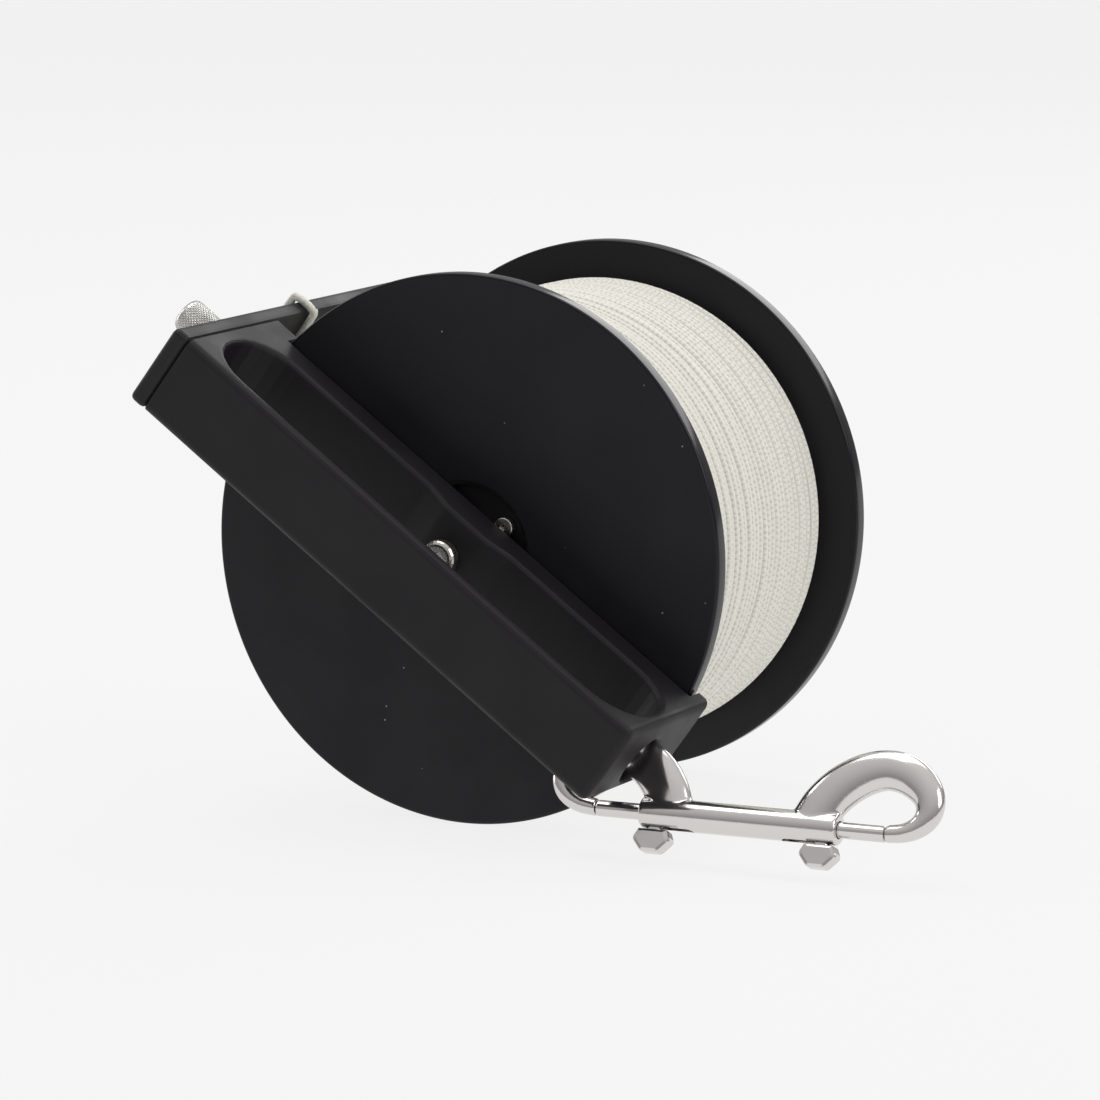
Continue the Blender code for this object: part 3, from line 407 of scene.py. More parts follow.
@dataclass(frozen=True)
class WorkedSteel(Finish):
    """Stainless steel, cast or turned and then polished.

    It gives the eye bright bands that bend over slow waves and are softened by scuffs.
    """

    # Polishing by hand leaves waves about 6 mm long.
    wave_mm: float = 6.0
    wave_depth_mm: float = 0.05
    wave_strength: float = 0.5
    # Scuffs are about 0.1 mm wide; they are drawn at 0.35 mm so that they show.
    scuff_mm: float = 0.35
    polished_share: float = 0.7
    scuffed_share: float = 1.5

    def pattern(self, tree: bpy.types.NodeTree, shader: bpy.types.Node) -> None:
        """Adds the slow waves that polishing leaves and the change of gloss from wear.

        Args:
            tree: The material's nodes.
            shader: Its Principled shader.
        """
        place = add_node(tree, "ShaderNodeTexCoord").outputs["Object"]
        wave = add_node(
            tree, "ShaderNodeTexNoise", {"Scale": 1 / (self.wave_mm * MM), "Detail": 1.0}, {"Vector": place}
        )
        bump = add_node(
            tree,
            "ShaderNodeBump",
            {"Strength": self.wave_strength, "Distance": self.wave_depth_mm * MM},
            {"Height": wave.outputs["Fac"]},
        )
        tree.links.new(bump.outputs["Normal"], shader.inputs["Normal"])
        scuff = add_node(
            tree, "ShaderNodeTexNoise", {"Scale": 1 / (self.scuff_mm * MM), "Detail": 4.0}, {"Vector": place}
        )
        gloss = add_node(
            tree,
            "ShaderNodeMapRange",
            {
                "From Min": 0.3,
                "From Max": 0.75,
                "To Min": self.roughness * self.polished_share,
                "To Max": self.roughness * self.scuffed_share,
            },
            {"Value": scuff.outputs["Fac"]},
        )
        tree.links.new(gloss.outputs["Result"], shader.inputs["Roughness"])


@dataclass(frozen=True)
class Palette:
    """Every finish on the reel: its name, colour, metalness, roughness and strength of reflection."""

    # Milled and blasted acetal bar: near black, with a soft grey sheen where it faces the light.
    handle: Finish = SatinPlastic("black_acetal_handle", "1b181b", 0.0, 0.50, 0.26)
    # The same acetal as sheet: a little smoother than the bar.
    plate: Finish = SatinPlastic("black_acetal_plate", "1b1a1c", 0.0, 0.46, 0.28)
    # Turned and blasted acetal discs: even black faces, a shinier rim and a few specks of dust.
    flange: Finish = SatinPlastic("black_acetal_flange", "161519", 0.0, 0.50, 0.26, dust=True, rim_mm=74.3)
    # Moulded tube under the line, hardly seen: plain dark grey.
    drum: Finish = Finish("black_drum_plastic", "1c1c1e", 0.0, 0.5)
    # Undyed braided nylon: matt and warm white.
    line: Finish = BraidedNylon("white_braided_nylon", "e3e1d8", 0.0, 0.82, 0.2)
    # Stainless steel turned on a lathe: grey white, with soft highlights.
    steel: Finish = WorkedSteel("turned_stainless_steel", "c4c2bd", 1.0, 0.26)
    # Tumbled and polished stainless casting: long, bright bands.
    casting: Finish = WorkedSteel("polished_stainless_casting", "dad6d4", 1.0, 0.15)
    # Drawn spring wire: greyer and duller than the casting.
    spring: Finish = Finish("spring_wire_steel", "a8a8a6", 1.0, 0.32)
    # Undyed nylon, turned from bar: milky cream.
    nylon: Finish = Finish("natural_nylon", "d8d4c4", 0.0, 0.5)


@dataclass
class Wardrobe:
    """Builds each finish once and hands it out."""

    palette: Palette = field(default_factory=Palette)
    made: dict[str, bpy.types.Material] = field(default_factory=dict)

    def get(self, finish: Finish) -> bpy.types.Material:
        """Hands out the material of a finish, made on first use.

        Args:
            finish: The finish.

        Returns:
            Its material.
        """
        if finish.name not in self.made:
            self.made[finish.name] = finish.build()
        return self.made[finish.name]

    def dress(self, node: bpy.types.Object, finish: Finish) -> bpy.types.Object:
        """Gives a CAD node a finish through its material slots.

        Args:
            node: The CAD node's object.
            finish: What it is made of.

        Returns:
            The node.
        """
        material = self.get(finish)
        if not node.material_slots:
            node.data.materials.append(material)
        for slot in node.material_slots:
            slot.material = material
        return node

    def dress_all(
        self, nodes: dict[str, bpy.types.Object], finishes: dict[str, Finish]
    ) -> list[bpy.types.Object]:
        """Gives several CAD nodes their finishes.

        Args:
            nodes: The CAD nodes by name.
            finishes: A finish for each node's name.

        Returns:
            The nodes, in order.
        """
        return [self.dress(nodes[name], finish) for name, finish in finishes.items()]


# Shapes


def mesh_object(
    name: str, mesh: bpy.types.Mesh, material: bpy.types.Material | None = None
) -> bpy.types.Object:
    """Links an object for a mesh.

    Args:
        name: The piece's name.
        mesh: Its mesh, already in place.
        material: Its material, or none.

    Returns:
        The object, at the origin.
    """
    made = bpy.data.objects.new(name, mesh)
    if material:
        mesh.materials.clear()
        mesh.materials.append(material)
    bpy.context.scene.collection.objects.link(made)
    return made


def surface(
    name: str, rings: list[list[Vector]], closed: bool = True, capped: bool = True
) -> bpy.types.Mesh:
    """A smooth skin through rings of points.

    Args:
        name: The mesh's name.
        rings: Rings of as many points each, in order.
        closed: Whether each ring joins its own start.
        capped: Whether the first and last rings are filled.

    Returns:
        The mesh, faces outwards.
    """
    bm = bmesh.new()
    made = [[bm.verts.new(point) for point in ring] for ring in rings]
    for near, far in zip(made, made[1:]):
        for i in range(len(near) if closed else len(near) - 1):
            j = (i + 1) % len(near)
            bm.faces.new((near[i], near[j], far[j], far[i]))
    if capped:
        bm.faces.new(made[0])
        bm.faces.new(made[-1])
    bmesh.ops.remove_doubles(bm, verts=bm.verts, dist=MERGE_WITHIN)
    bmesh.ops.recalc_face_normals(bm, faces=bm.faces)
    mesh = bpy.data.meshes.new(name)
    bm.to_mesh(mesh)
    bm.free()
    for face in mesh.polygons:
        face.use_smooth = True
    mesh.set_sharp_from_angle(angle=SOFT_EDGE)
    return mesh


def joined(name: str, meshes: list[bpy.types.Mesh]) -> bpy.types.Mesh:
    """Several meshes as one.

    Args:
        name: The new mesh's name.
        meshes: The meshes, already in place.

    Returns:
        The one mesh.
    """
    bm = bmesh.new()
    for part in meshes:
        bm.from_mesh(part)
    mesh = bpy.data.meshes.new(name)
    bm.to_mesh(mesh)
    bm.free()
    return mesh


def turned_rings(profile: list[tuple[float, float]], steps: int, place: Matrix) -> list[list[Vector]]:
    """The rings of a profile that is turned about its own Z and put in place.

    Args:
        profile: Radius and height of each point.
        steps: Facets round.
        place: Where its own axes go.

    Returns:
        One ring for each point of the profile.
    """
    rings = []
    for radius, height in profile:
        reach = max(radius, AXIS_REACH)
        ring = []
        for k in range(steps):
            angle = TAU * k / steps
            ring.append(place @ Vector((reach * math.cos(angle), reach * math.sin(angle), height)))
        rings.append(ring)
    return rings


def lathe(name: str, profile: list[tuple[float, float]], steps: int, place: Matrix) -> bpy.types.Mesh:
    """A solid turned about its own Z and put in place.

    Args:
        name: The mesh's name.
        profile: Radius and height of each point, both ends on the axis.
        steps: Facets round.
        place: Where its own axes go.

    Returns:
        The mesh.
    """
    return surface(name, turned_rings(profile, steps, place))


def rounded(
    points: list[tuple[float, float]], radii: list[float], steps: int = 5
) -> list[tuple[float, float]]:
    """An open profile with its corners rounded.

    Args:
        points: The profile's corners.
        radii: A radius for each, zero where it stays sharp.
        steps: Points on each arc.

    Returns:
        The finer profile.
    """
    outline = []
    for i, (point, radius) in enumerate(zip(points, radii)):
        corner = Vector(point)
        if radius <= 0 or i in (0, len(points) - 1):
            outline.append(point)
            continue
        back = Vector(points[i - 1]) - corner
        ahead = Vector(points[i + 1]) - corner
        start = corner + back.normalized() * radius
        end = corner + ahead.normalized() * radius
        for k in range(steps + 1):
            share = k / steps
            mid = start.lerp(corner, share).lerp(corner.lerp(end, share), share)
            outline.append((mid.x, mid.y))
    return outline


def add_booleans(made: bpy.types.Object, others: list[bpy.types.Object], operation: str) -> None:
    """Adds one exact Boolean modifier for each of the other objects.

    Args:
        made: The object that changes.
        others: What is joined to it or cut from it.
        operation: UNION or DIFFERENCE.
    """
    for other in others:
        modifier = made.modifiers.new(other.name, "BOOLEAN")
        modifier.operation = operation
        modifier.solver = "EXACT"
        modifier.object = other


def smooth_path(points: list[Vector], count: int, cyclic: bool = False) -> list[Vector]:
    """A Catmull-Rom curve through the points, evenly sampled.

    Args:
        points: What the curve goes through.
        count: How many samples to return.
        cyclic: Whether it closes on itself.

    Returns:
        Points evenly spaced along the curve.
    """
    fine_steps = 12
    fine: list[Vector] = []
    total = len(points) if cyclic else len(points) - 1
    for i in range(total):
        if cyclic:
            a, b, c, d = (points[(i + k - 1) % len(points)] for k in range(4))
        else:
            b, c = points[i], points[i + 1]
            a = points[i - 1] if i else b * 2 - c
            d = points[i + 2] if i + 2 < len(points) else c * 2 - b
        for k in range(fine_steps):
            t = k / fine_steps
            fine.append(
                0.5
                * (
                    2 * b
                    + (c - a) * t
                    + (2 * a - 5 * b + 4 * c - d) * t * t
                    + (3 * b - a - 3 * c + d) * t * t * t
                )
            )
    fine.append(points[0].copy() if cyclic else points[-1].copy())
    array = np.array([tuple(p) for p in fine])
    gaps = np.concatenate([[0], np.cumsum(np.linalg.norm(np.diff(array, axis=0), axis=1))])
    wanted = np.linspace(0, gaps[-1], count + 1 if cyclic else count)
    if cyclic:
        wanted = wanted[:-1]
    return [Vector([np.interp(w, gaps, array[:, axis]) for axis in range(3)]) for w in wanted]


# Geometry Nodes


class NodeTool:
    """A Geometry Nodes tree with named inputs, run once on an object and turned into a plain mesh."""

    def __init__(self, name: str, sizes: dict[str, str]) -> None:
        """Starts the tree.

        Args:
            name: The tree's name.
            sizes: The socket type of each named input.
        """
        self.tree = bpy.data.node_groups.new(name, "GeometryNodeTree")
        face = self.tree.interface
        face.new_socket("Geometry", in_out="INPUT", socket_type="NodeSocketGeometry")
        for label, kind in sizes.items():
            face.new_socket(label, in_out="INPUT", socket_type=kind)
        face.new_socket("Geometry", in_out="OUTPUT", socket_type="NodeSocketGeometry")
        self.start = self.tree.nodes.new("NodeGroupInput")
        self.end = self.tree.nodes.new("NodeGroupOutput")

    def add(
        self, kind: str, values: dict | None = None, links: dict | None = None, **settings: Any
    ) -> bpy.types.Node:
        """Adds a node to this tree."""
        return add_node(self.tree, kind, values, links, **settings)

    def size(self, label: str) -> bpy.types.NodeSocket:
        """The named input as a source."""
        return self.start.outputs[label]

    def close(self, geometry: bpy.types.NodeSocket) -> None:
        """Ends the tree in Realize Instances and Set Material.

        Args:
            geometry: What the tree has made.
        """
        real = self.add("GeometryNodeRealizeInstances", links={"Geometry": geometry})
        painted = self.add(
            "GeometryNodeSetMaterial",
            links={"Geometry": real.outputs["Geometry"], "Material": self.size("Material")},
        )
        self.tree.links.new(painted.outputs["Geometry"], self.end.inputs["Geometry"])

    def run(self, name: str, source: bpy.types.Object, sizes: dict[str, Any]) -> bpy.types.Mesh:
        """Runs the tree on an object and keeps only the resulting mesh.

        Args:
            name: The mesh's name.
            source: The object that carries the modifier; it is removed.
            sizes: A value for each named input.

        Returns:
            The plain mesh.
        """
        modifier = source.modifiers.new("Make", "NODES")
        modifier.node_group = self.tree
        for item in self.tree.interface.items_tree:
            if item.item_type == "SOCKET" and item.in_out == "INPUT" and item.name in sizes:
                modifier[item.identifier] = sizes[item.name]
        bpy.context.view_layer.update()
        graph = bpy.context.evaluated_depsgraph_get()
        mesh = bpy.data.meshes.new_from_object(source.evaluated_get(graph), depsgraph=graph)
        mesh.name = name
        bpy.data.objects.remove(source, do_unlink=True)
        return mesh


def add_braid_sweep(tool: NodeTool, path: bpy.types.NodeSocket, sides: int) -> bpy.types.Node:
    """Sweeps a round section along a path and stores where each point lies on the line.

    Args:
        tool: The tree that is being built.
        path: The curve to follow.
        sides: Facets round the line.

    Returns:
        The node whose Mesh output is the swept line.
    """
    length = tool.add("GeometryNodeSplineParameter").outputs["Length"]
    along = tool.add(
        "GeometryNodeStoreNamedAttribute",
        {"Name": "line_along"},
        {"Geometry": path, "Value": length},
        data_type="FLOAT",
        domain="POINT",
    )
    half = tool.add("ShaderNodeMath", {1: 0.5}, {0: tool.size("Diameter")}, operation="MULTIPLY")
    section = tool.add("GeometryNodeCurvePrimitiveCircle", {"Resolution": sides}, {"Radius": half.outputs[0]})
    factor = tool.add("GeometryNodeSplineParameter").outputs["Factor"]
    around = tool.add(
        "GeometryNodeStoreNamedAttribute",
        {"Name": "line_around"},
        {"Geometry": section.outputs["Curve"], "Value": factor},
        data_type="FLOAT",
        domain="POINT",
    )
    swept = tool.add(
        "GeometryNodeCurveToMesh",
        {"Fill Caps": True},
        {"Curve": along.outputs["Geometry"], "Profile Curve": around.outputs["Geometry"]},
    )
    return tool.add("GeometryNodeSetShadeSmooth", links={"Geometry": swept.outputs["Mesh"]})


def wound_line_tool() -> NodeTool:
    """The tree that winds one layer of line on the drum, wandering as hand-wound line does.

    Returns:
        The finished tree.
    """
    sizes = ("Turns", "Radius", "Width", "Start", "Diameter", "Side Wander", "Height Wander", "Seed")
    kinds = dict.fromkeys(sizes, "NodeSocketFloat")
    tool = NodeTool("wound_line", kinds | {"Material": "NodeSocketMaterial"})
    coil = tool.add(
        "GeometryNodeCurveSpiral",
        {"Resolution": 96},
        {
            "Rotations": tool.size("Turns"),
            "Start Radius": tool.size("Radius"),
            "End Radius": tool.size("Radius"),
            "Height": tool.size("Width"),
        },
    )
    spot = tool.add("GeometryNodeInputPosition").outputs["Position"]
    travel = tool.add("GeometryNodeSplineParameter").outputs["Length"]
    shifts = []
    # How many times a metre the line strays sideways and in height, and where each noise starts.
    for per_metre, offset in ((6.0, 0.0), (9.0, 31.0)):
        seed = tool.add("ShaderNodeMath", {1: offset}, {0: tool.size("Seed")}, operation="ADD")
        scaled = tool.add("ShaderNodeMath", {1: per_metre}, {0: travel}, operation="MULTIPLY")
        walk = tool.add("ShaderNodeMath", links={0: scaled.outputs[0], 1: seed.outputs[0]}, operation="ADD")
        noise = tool.add(
            "ShaderNodeTexNoise", {"Scale": 1.0, "Detail": 1.0}, {"W": walk.outputs[0]}, noise_dimensions="1D"
        )
        shifts.append(
            tool.add("ShaderNodeMapRange", {"To Min": -1.0}, {"Value": noise.outputs["Fac"]})
            .outputs["Result"]
        )
    side = tool.add("ShaderNodeMath", links={0: shifts[0], 1: tool.size("Side Wander")}, operation="MULTIPLY")
    height = tool.size("Height Wander")
    rise = tool.add("ShaderNodeMath", links={0: shifts[1], 1: height}, operation="MULTIPLY")
    flat = tool.add("ShaderNodeVectorMath", {1: (1.0, 1.0, 0.0)}, {0: spot}, operation="MULTIPLY")
    outward = tool.add("ShaderNodeVectorMath", links={0: flat.outputs[0]}, operation="NORMALIZE")
    lift = tool.add(
        "ShaderNodeVectorMath", links={0: outward.outputs[0], "Scale": rise.outputs[0]}, operation="SCALE"
    )
    drift = tool.add("ShaderNodeCombineXYZ", links={"Z": side.outputs[0]})
    move = tool.add("ShaderNodeVectorMath", links={0: lift.outputs[0], 1: drift.outputs[0]}, operation="ADD")
    moved = tool.add(
        "GeometryNodeSetPosition", links={"Geometry": coil.outputs["Curve"], "Offset": move.outputs[0]}
    )
    swept = add_braid_sweep(tool, moved.outputs["Geometry"], 10)
    shift = tool.add("ShaderNodeCombineXYZ", links={"Y": tool.size("Start")})
    turned = tool.add(
        "GeometryNodeTransform",
        {"Rotation": (-math.pi / 2, 0.0, 0.0)},
        {"Geometry": swept.outputs["Geometry"], "Translation": shift.outputs[0]},
    )
    tool.close(turned.outputs["Geometry"])
    return tool


def cord_tool() -> NodeTool:
    """The tree that lays a braided cord along a drawn path.

    Returns:
        The finished tree.
    """
    tool = NodeTool("braided_cord", {"Diameter": "NodeSocketFloat", "Material": "NodeSocketMaterial"})
    swept = add_braid_sweep(tool, tool.size("Geometry"), 14)
    tool.close(swept.outputs["Geometry"])
    return tool


def screw_circle_tool() -> NodeTool:
    """The tree that sets one screw at each point of a circle about the spool's axis.

    Returns:
        The finished tree.
    """
    kinds = {
        "Count": "NodeSocketInt",
        "Circle Radius": "NodeSocketFloat",
        "Start Angle": "NodeSocketFloat",
        "Screw": "NodeSocketObject",
        "Material": "NodeSocketMaterial",
    }
    tool = NodeTool("screw_circle", kinds)
    circle = tool.add(
        "GeometryNodeMeshCircle", links={"Vertices": tool.size("Count"), "Radius": tool.size("Circle Radius")}
    )
    turn = tool.add("ShaderNodeCombineXYZ", links={"Z": tool.size("Start Angle")})
    aligned = tool.add(
        "GeometryNodeTransform", links={"Geometry": circle.outputs["Mesh"], "Rotation": turn.outputs[0]}
    )
    screw = tool.add("GeometryNodeObjectInfo", links={"Object": tool.size("Screw")})
    placed = tool.add(
        "GeometryNodeInstanceOnPoints",
        links={"Points": aligned.outputs["Geometry"], "Instance": screw.outputs["Geometry"]},
    )
    tool.close(placed.outputs["Instances"])
    return tool


def empty_mesh_object(name: str) -> bpy.types.Object:
    """An object with an empty mesh, to carry a tree."""
    return mesh_object(name, bpy.data.meshes.new(name))


def path_object(name: str, points: list[Vector], cyclic: bool = False) -> bpy.types.Object:
    """A curve object through the points.

    Args:
        name: The object's name.
        points: The path.
        cyclic: Whether it closes.

    Returns:
        The linked curve object.
    """
    curve = bpy.data.curves.new(name, "CURVE")
    curve.dimensions = "3D"
    spline = curve.splines.new("POLY")
    spline.points.add(len(points) - 1)
    for slot, point in zip(spline.points, points):
        slot.co = (*point, 1)
    spline.use_cyclic_u = cyclic
    made = bpy.data.objects.new(name, curve)
    bpy.context.scene.collection.objects.link(made)
    return made


# Sub-assemblies


@dataclass
class Handle:
    """The slotted bar and the line guide plate on its left end."""

    wardrobe: Wardrobe
    nodes: dict[str, bpy.types.Object]
    slope: float = math.radians(36.38)

    def axes(self) -> Matrix:
        """The handle's own axes: X along it, Y back, Z across."""
        return Matrix.Rotation(self.slope, 4, "Y")

    def build(self) -> list[bpy.types.Object]:
        """Dresses the bar, the plate and the plate's screws.

        Returns:
            The finished pieces.
        """
        palette = self.wardrobe.palette
        finishes = {
            "handle_block": palette.handle,
            "line_guide_plate": palette.plate,
            "plate_screw_1": palette.steel,
            "plate_screw_2": palette.steel,
        }
        return self.wardrobe.dress_all(self.nodes, finishes)


@dataclass
class SpoolLock:
    """The knurled thumbscrew and the pad that it pushes against the front flange."""

    wardrobe: Wardrobe
    handle: Handle
    place: tuple[float, float] = (46.5 * MM, -2.9 * MM)
    head_radius: float = 5.05 * MM
    head_ends: tuple[float, float] = (-104.9 * MM, -88.4 * MM)
    shank_radius: float = 1.8 * MM
    shank_end: float = -80.9 * MM
    shank_edge: float = 0.3 * MM
    # Radius and height of the rounded outer end, in millimetres.
    crown: tuple[tuple[float, float], ...] = ((0.001, 0.0), (3.2, 0.0), (4.1, 0.12), (4.6, 0.5), (4.88, 1.1))
    knurl_depth: float = 0.28 * MM
    knurl_round: int = 30
    knurl_pitch: float = 1.05 * MM
    knurl_facets: int = 6
    knurl_flat: float = 1.6
    plain_outer: float = 1.6 * MM
    plain_inner: float = 0.96 * MM

    def head_rings(self) -> list[list[Vector]]:
        """The head's rings, with a diamond knurl between its plain ends.

        Returns:
            Rings from the outer end inwards, on the screw's own Z.
        """
        low, high = self.head_ends
        steps = self.knurl_round * self.knurl_facets
        rings = [self.ring(radius * MM, low + height * MM, steps, 0.0) for radius, height in self.crown]
        start, end = low + self.plain_outer, high - self.plain_inner
        count = int((end - start) / (self.knurl_pitch / self.knurl_facets))
        for k in range(count + 1):
            height = start + (end - start) * k / count
            rings.append(self.ring(self.head_radius, height, steps, self.knurl_depth))
        for radius, height in (
            (4.85 * MM, high - 0.5 * MM),
            (4.3 * MM, high),
            (self.shank_radius, high),
            (self.shank_radius, self.shank_end - self.shank_edge),
            (self.shank_radius - self.shank_edge, self.shank_end),
            (AXIS_REACH, self.shank_end),
        ):
            rings.append(self.ring(radius, height, steps, 0.0))
        return rings

    def ring(self, radius: float, height: float, steps: int, depth: float) -> list[Vector]:
        """One ring of the head.

        Args:
            radius: To the tops of the knurl.
            height: On the screw's own Z.
            steps: Points round.
            depth: How deep the knurl cuts, or zero.

        Returns:
            The ring's points.
        """
        points = []
        for k in range(steps):
            angle = TAU * k / steps
            turn = self.knurl_round * angle
            travel = TAU * height / (self.knurl_pitch * 2)
            groove = min(abs(math.sin(turn / 2 + travel)), abs(math.sin(turn / 2 - travel)))
            reach = radius - depth * (1 - min(1.0, self.knurl_flat * groove))
            points.append(Vector((reach * math.cos(angle), reach * math.sin(angle), height)))
        return points

    def build(self) -> list[bpy.types.Object]:
        """Makes the thumbscrew and dresses the pad.

        Returns:
            The finished pieces.
        """
        wardrobe = self.wardrobe
        palette = wardrobe.palette
        place = (
            self.handle.axes()
            @ Matrix.Translation((0, self.place[0], self.place[1]))
            @ Matrix.Rotation(math.pi / 2, 4, "Y")
        )
        rings = [[place @ point for point in ring] for ring in self.head_rings()]
        screw = mesh_object(
            "knurled_thumbscrew", surface("knurled_thumbscrew", rings), wardrobe.get(palette.steel)
        )
        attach(screw, "thumbscrew")
        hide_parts("thumbscrew")
        return [screw, wardrobe.dress(self.handle.nodes["lock_pad"], palette.nylon)]


@dataclass
class AxleStack:
    """The axle bolt and what it clamps."""

    wardrobe: Wardrobe
    nodes: dict[str, bpy.types.Object]

    def build(self) -> list[bpy.types.Object]:
        """Dresses the bolt, sleeve, washers, nut and bushings.

        Returns:
            The finished pieces.
        """
        palette = self.wardrobe.palette
        clamped = ("axle_bolt", "axle_sleeve", "rear_washer", "axle_nut")
        rubbing = ("front_thrust_washer", "rear_thrust_washer", "front_bushing", "rear_bushing")
        finishes = dict.fromkeys(clamped, palette.steel) | dict.fromkeys(rubbing, palette.nylon)
        return self.wardrobe.dress_all(self.nodes, finishes)


@dataclass
class HubScrews:
    """The socket cap screws that hold both flanges to the drum."""

    wardrobe: Wardrobe
    tool: NodeTool
    circle: float = 13.0 * MM
    angle: float = math.radians(31.3)
    count: int = 4
    head_radius: float = 2.75 * MM
    head_height: float = 2.4 * MM
    shank_radius: float = 1.5 * MM
    shank_length: float = 11.6 * MM
    socket_radius: float = 0.8 * MM
    socket_depth: float = 1.0 * MM
    socket_flare: float = 1.12
    facets: int = 36

    def screw(self) -> bpy.types.Object:
        """One screw on its own Z, seat at zero and head below it.

        Returns:
            The screw's object.
        """
        radius, top = self.head_radius, -self.head_height
        corners = [
            (0, self.shank_length),
            (self.shank_radius, self.shank_length),
            (self.shank_radius, 0),
            (radius, 0),
            (radius, top),
            (self.socket_radius * self.socket_flare, top),
            (self.socket_radius, top + 0.12 * MM),
            (self.socket_radius, top + self.socket_depth),
            (0, top + self.socket_depth),
        ]
        radii = [0, 0.3 * MM, 0, 0.1 * MM, 0.4 * MM, 0, 0, 0, 0]
        mesh = lathe("hub_screw", rounded(corners, radii), self.facets, Matrix.Identity(4))
        return mesh_object("hub_screw", mesh)

    def build(self) -> list[bpy.types.Object]:
        """Makes one mesh of all the screws, at both ends of the drum.

        Returns:
            The finished piece.
        """
        screw = self.screw()
        material = self.wardrobe.get(self.wardrobe.palette.steel)
        front_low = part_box("front_hub_screw_1")[0].y
        rear_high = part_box("rear_hub_screw_1")[1].y
        ends = []
        for seat, flip in ((front_low + self.head_height, 1), (rear_high - self.head_height, -1)):
            carrier = empty_mesh_object("hub_screw_carrier")
            sizes = {
                "Count": self.count,
                "Circle Radius": self.circle,
                "Start Angle": flip * -self.angle,
                "Screw": screw,
                "Material": material,
            }
            mesh = self.tool.run("hub_screws", carrier, sizes)
            place = Matrix.Translation((0, seat, 0)) @ Matrix.Rotation(-flip * math.pi / 2, 4, "X")
            mesh.transform(place)
            ends.append(mesh)
        bpy.data.objects.remove(screw, do_unlink=True)
        made = mesh_object("hub_screws", joined("hub_screws", ends), material)
        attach(made, "spool")
        names = [f"{end}_hub_screw_{k}" for end in ("front", "rear") for k in range(1, self.count + 1)]
        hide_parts(*names)
        return [made]


@dataclass
class WoundLine:
    """The braided line on the drum: a tidy layer and strands that cross over it."""

    wardrobe: Wardrobe
    tool: NodeTool
    diameter: float = 2.3 * MM
    turns: float = 39.5
    crossed_turns: float = 31.0
    side_wander: float = 0.7 * MM
    crossed_wander: float = 1.7 * MM
    height_wander: float = 0.36 * MM
    # Both layers start and end behind the front flange, where the ends are out of sight.
    start_turn: float = math.radians(150.0)
    flange_gap: float = 0.3 * MM
    # How far in each layer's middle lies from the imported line's outside, in line diameters.
    base_depth: float = 1.55
    crossed_depth: float = 0.72
    bed_depth: float = 1.9
    base_seed: float = 3.0
    crossed_seed: float = 57.0
    bed_bore: float = 24.3 * MM
    bed_gap: float = 0.1 * MM
    bed_facets: int = 96

    def build(self) -> list[bpy.types.Object]:
        """Winds both layers between the flanges, over a bed of buried line.

        Returns:
            The finished pieces.
        """
        material = self.wardrobe.get(self.wardrobe.palette.line)
        low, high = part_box("line_pack")
        outer = high.x
        margin = self.diameter / 2 + self.flange_gap
        base = outer - self.base_depth * self.diameter
        crossed = outer - self.crossed_depth * self.diameter
        layers = []
        plans = (
            (Layer.BASE, self.turns, base, self.side_wander, self.base_seed),
            (Layer.CROSSED, self.crossed_turns, crossed, self.crossed_wander, self.crossed_seed),
        )
        for layer, turns, radius, wander, seed in plans:
            inset = margin + wander
            sizes = {
                "Turns": turns,
                "Radius": radius,
                "Width": high.y - low.y - 2 * inset,
                "Start": low.y + inset,
                "Diameter": self.diameter,
                "Side Wander": wander,
                "Height Wander": self.height_wander,
                "Seed": seed,
                "Material": material,
            }
            mesh = self.tool.run(layer.value, empty_mesh_object(layer.value), sizes)
            mesh.transform(Matrix.Rotation(self.start_turn, 4, "Y"))
            layers.append(mesh)
        made = mesh_object("wound_line", joined("wound_line", layers), material)
        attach(made, "spool")
        return [made, self.build_bed(low, high, outer - self.bed_depth * self.diameter)]

    def build_bed(
        self, low: Vector, high: Vector, radius: float
    ) -> bpy.types.Object:
        """Makes the buried line under the layers that show.

        Args:
            low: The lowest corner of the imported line.
            high: Its highest corner.
            radius: The bed's outer radius.

        Returns:
            The finished piece.
        """
        inner = self.bed_bore
        front, rear = low.y + self.bed_gap, high.y - self.bed_gap
        profile = [(inner, front), (radius, front), (radius, rear), (inner, rear), (inner, front)]
        rings = turned_rings(profile, self.bed_facets, Matrix.Rotation(-math.pi / 2, 4, "X"))
        mesh = surface("buried_line", rings, capped=False)
        bed = mesh_object("buried_line", mesh, self.wardrobe.get(self.wardrobe.palette.line))
        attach(bed, "spool")
        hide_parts("line_pack")
        return bed


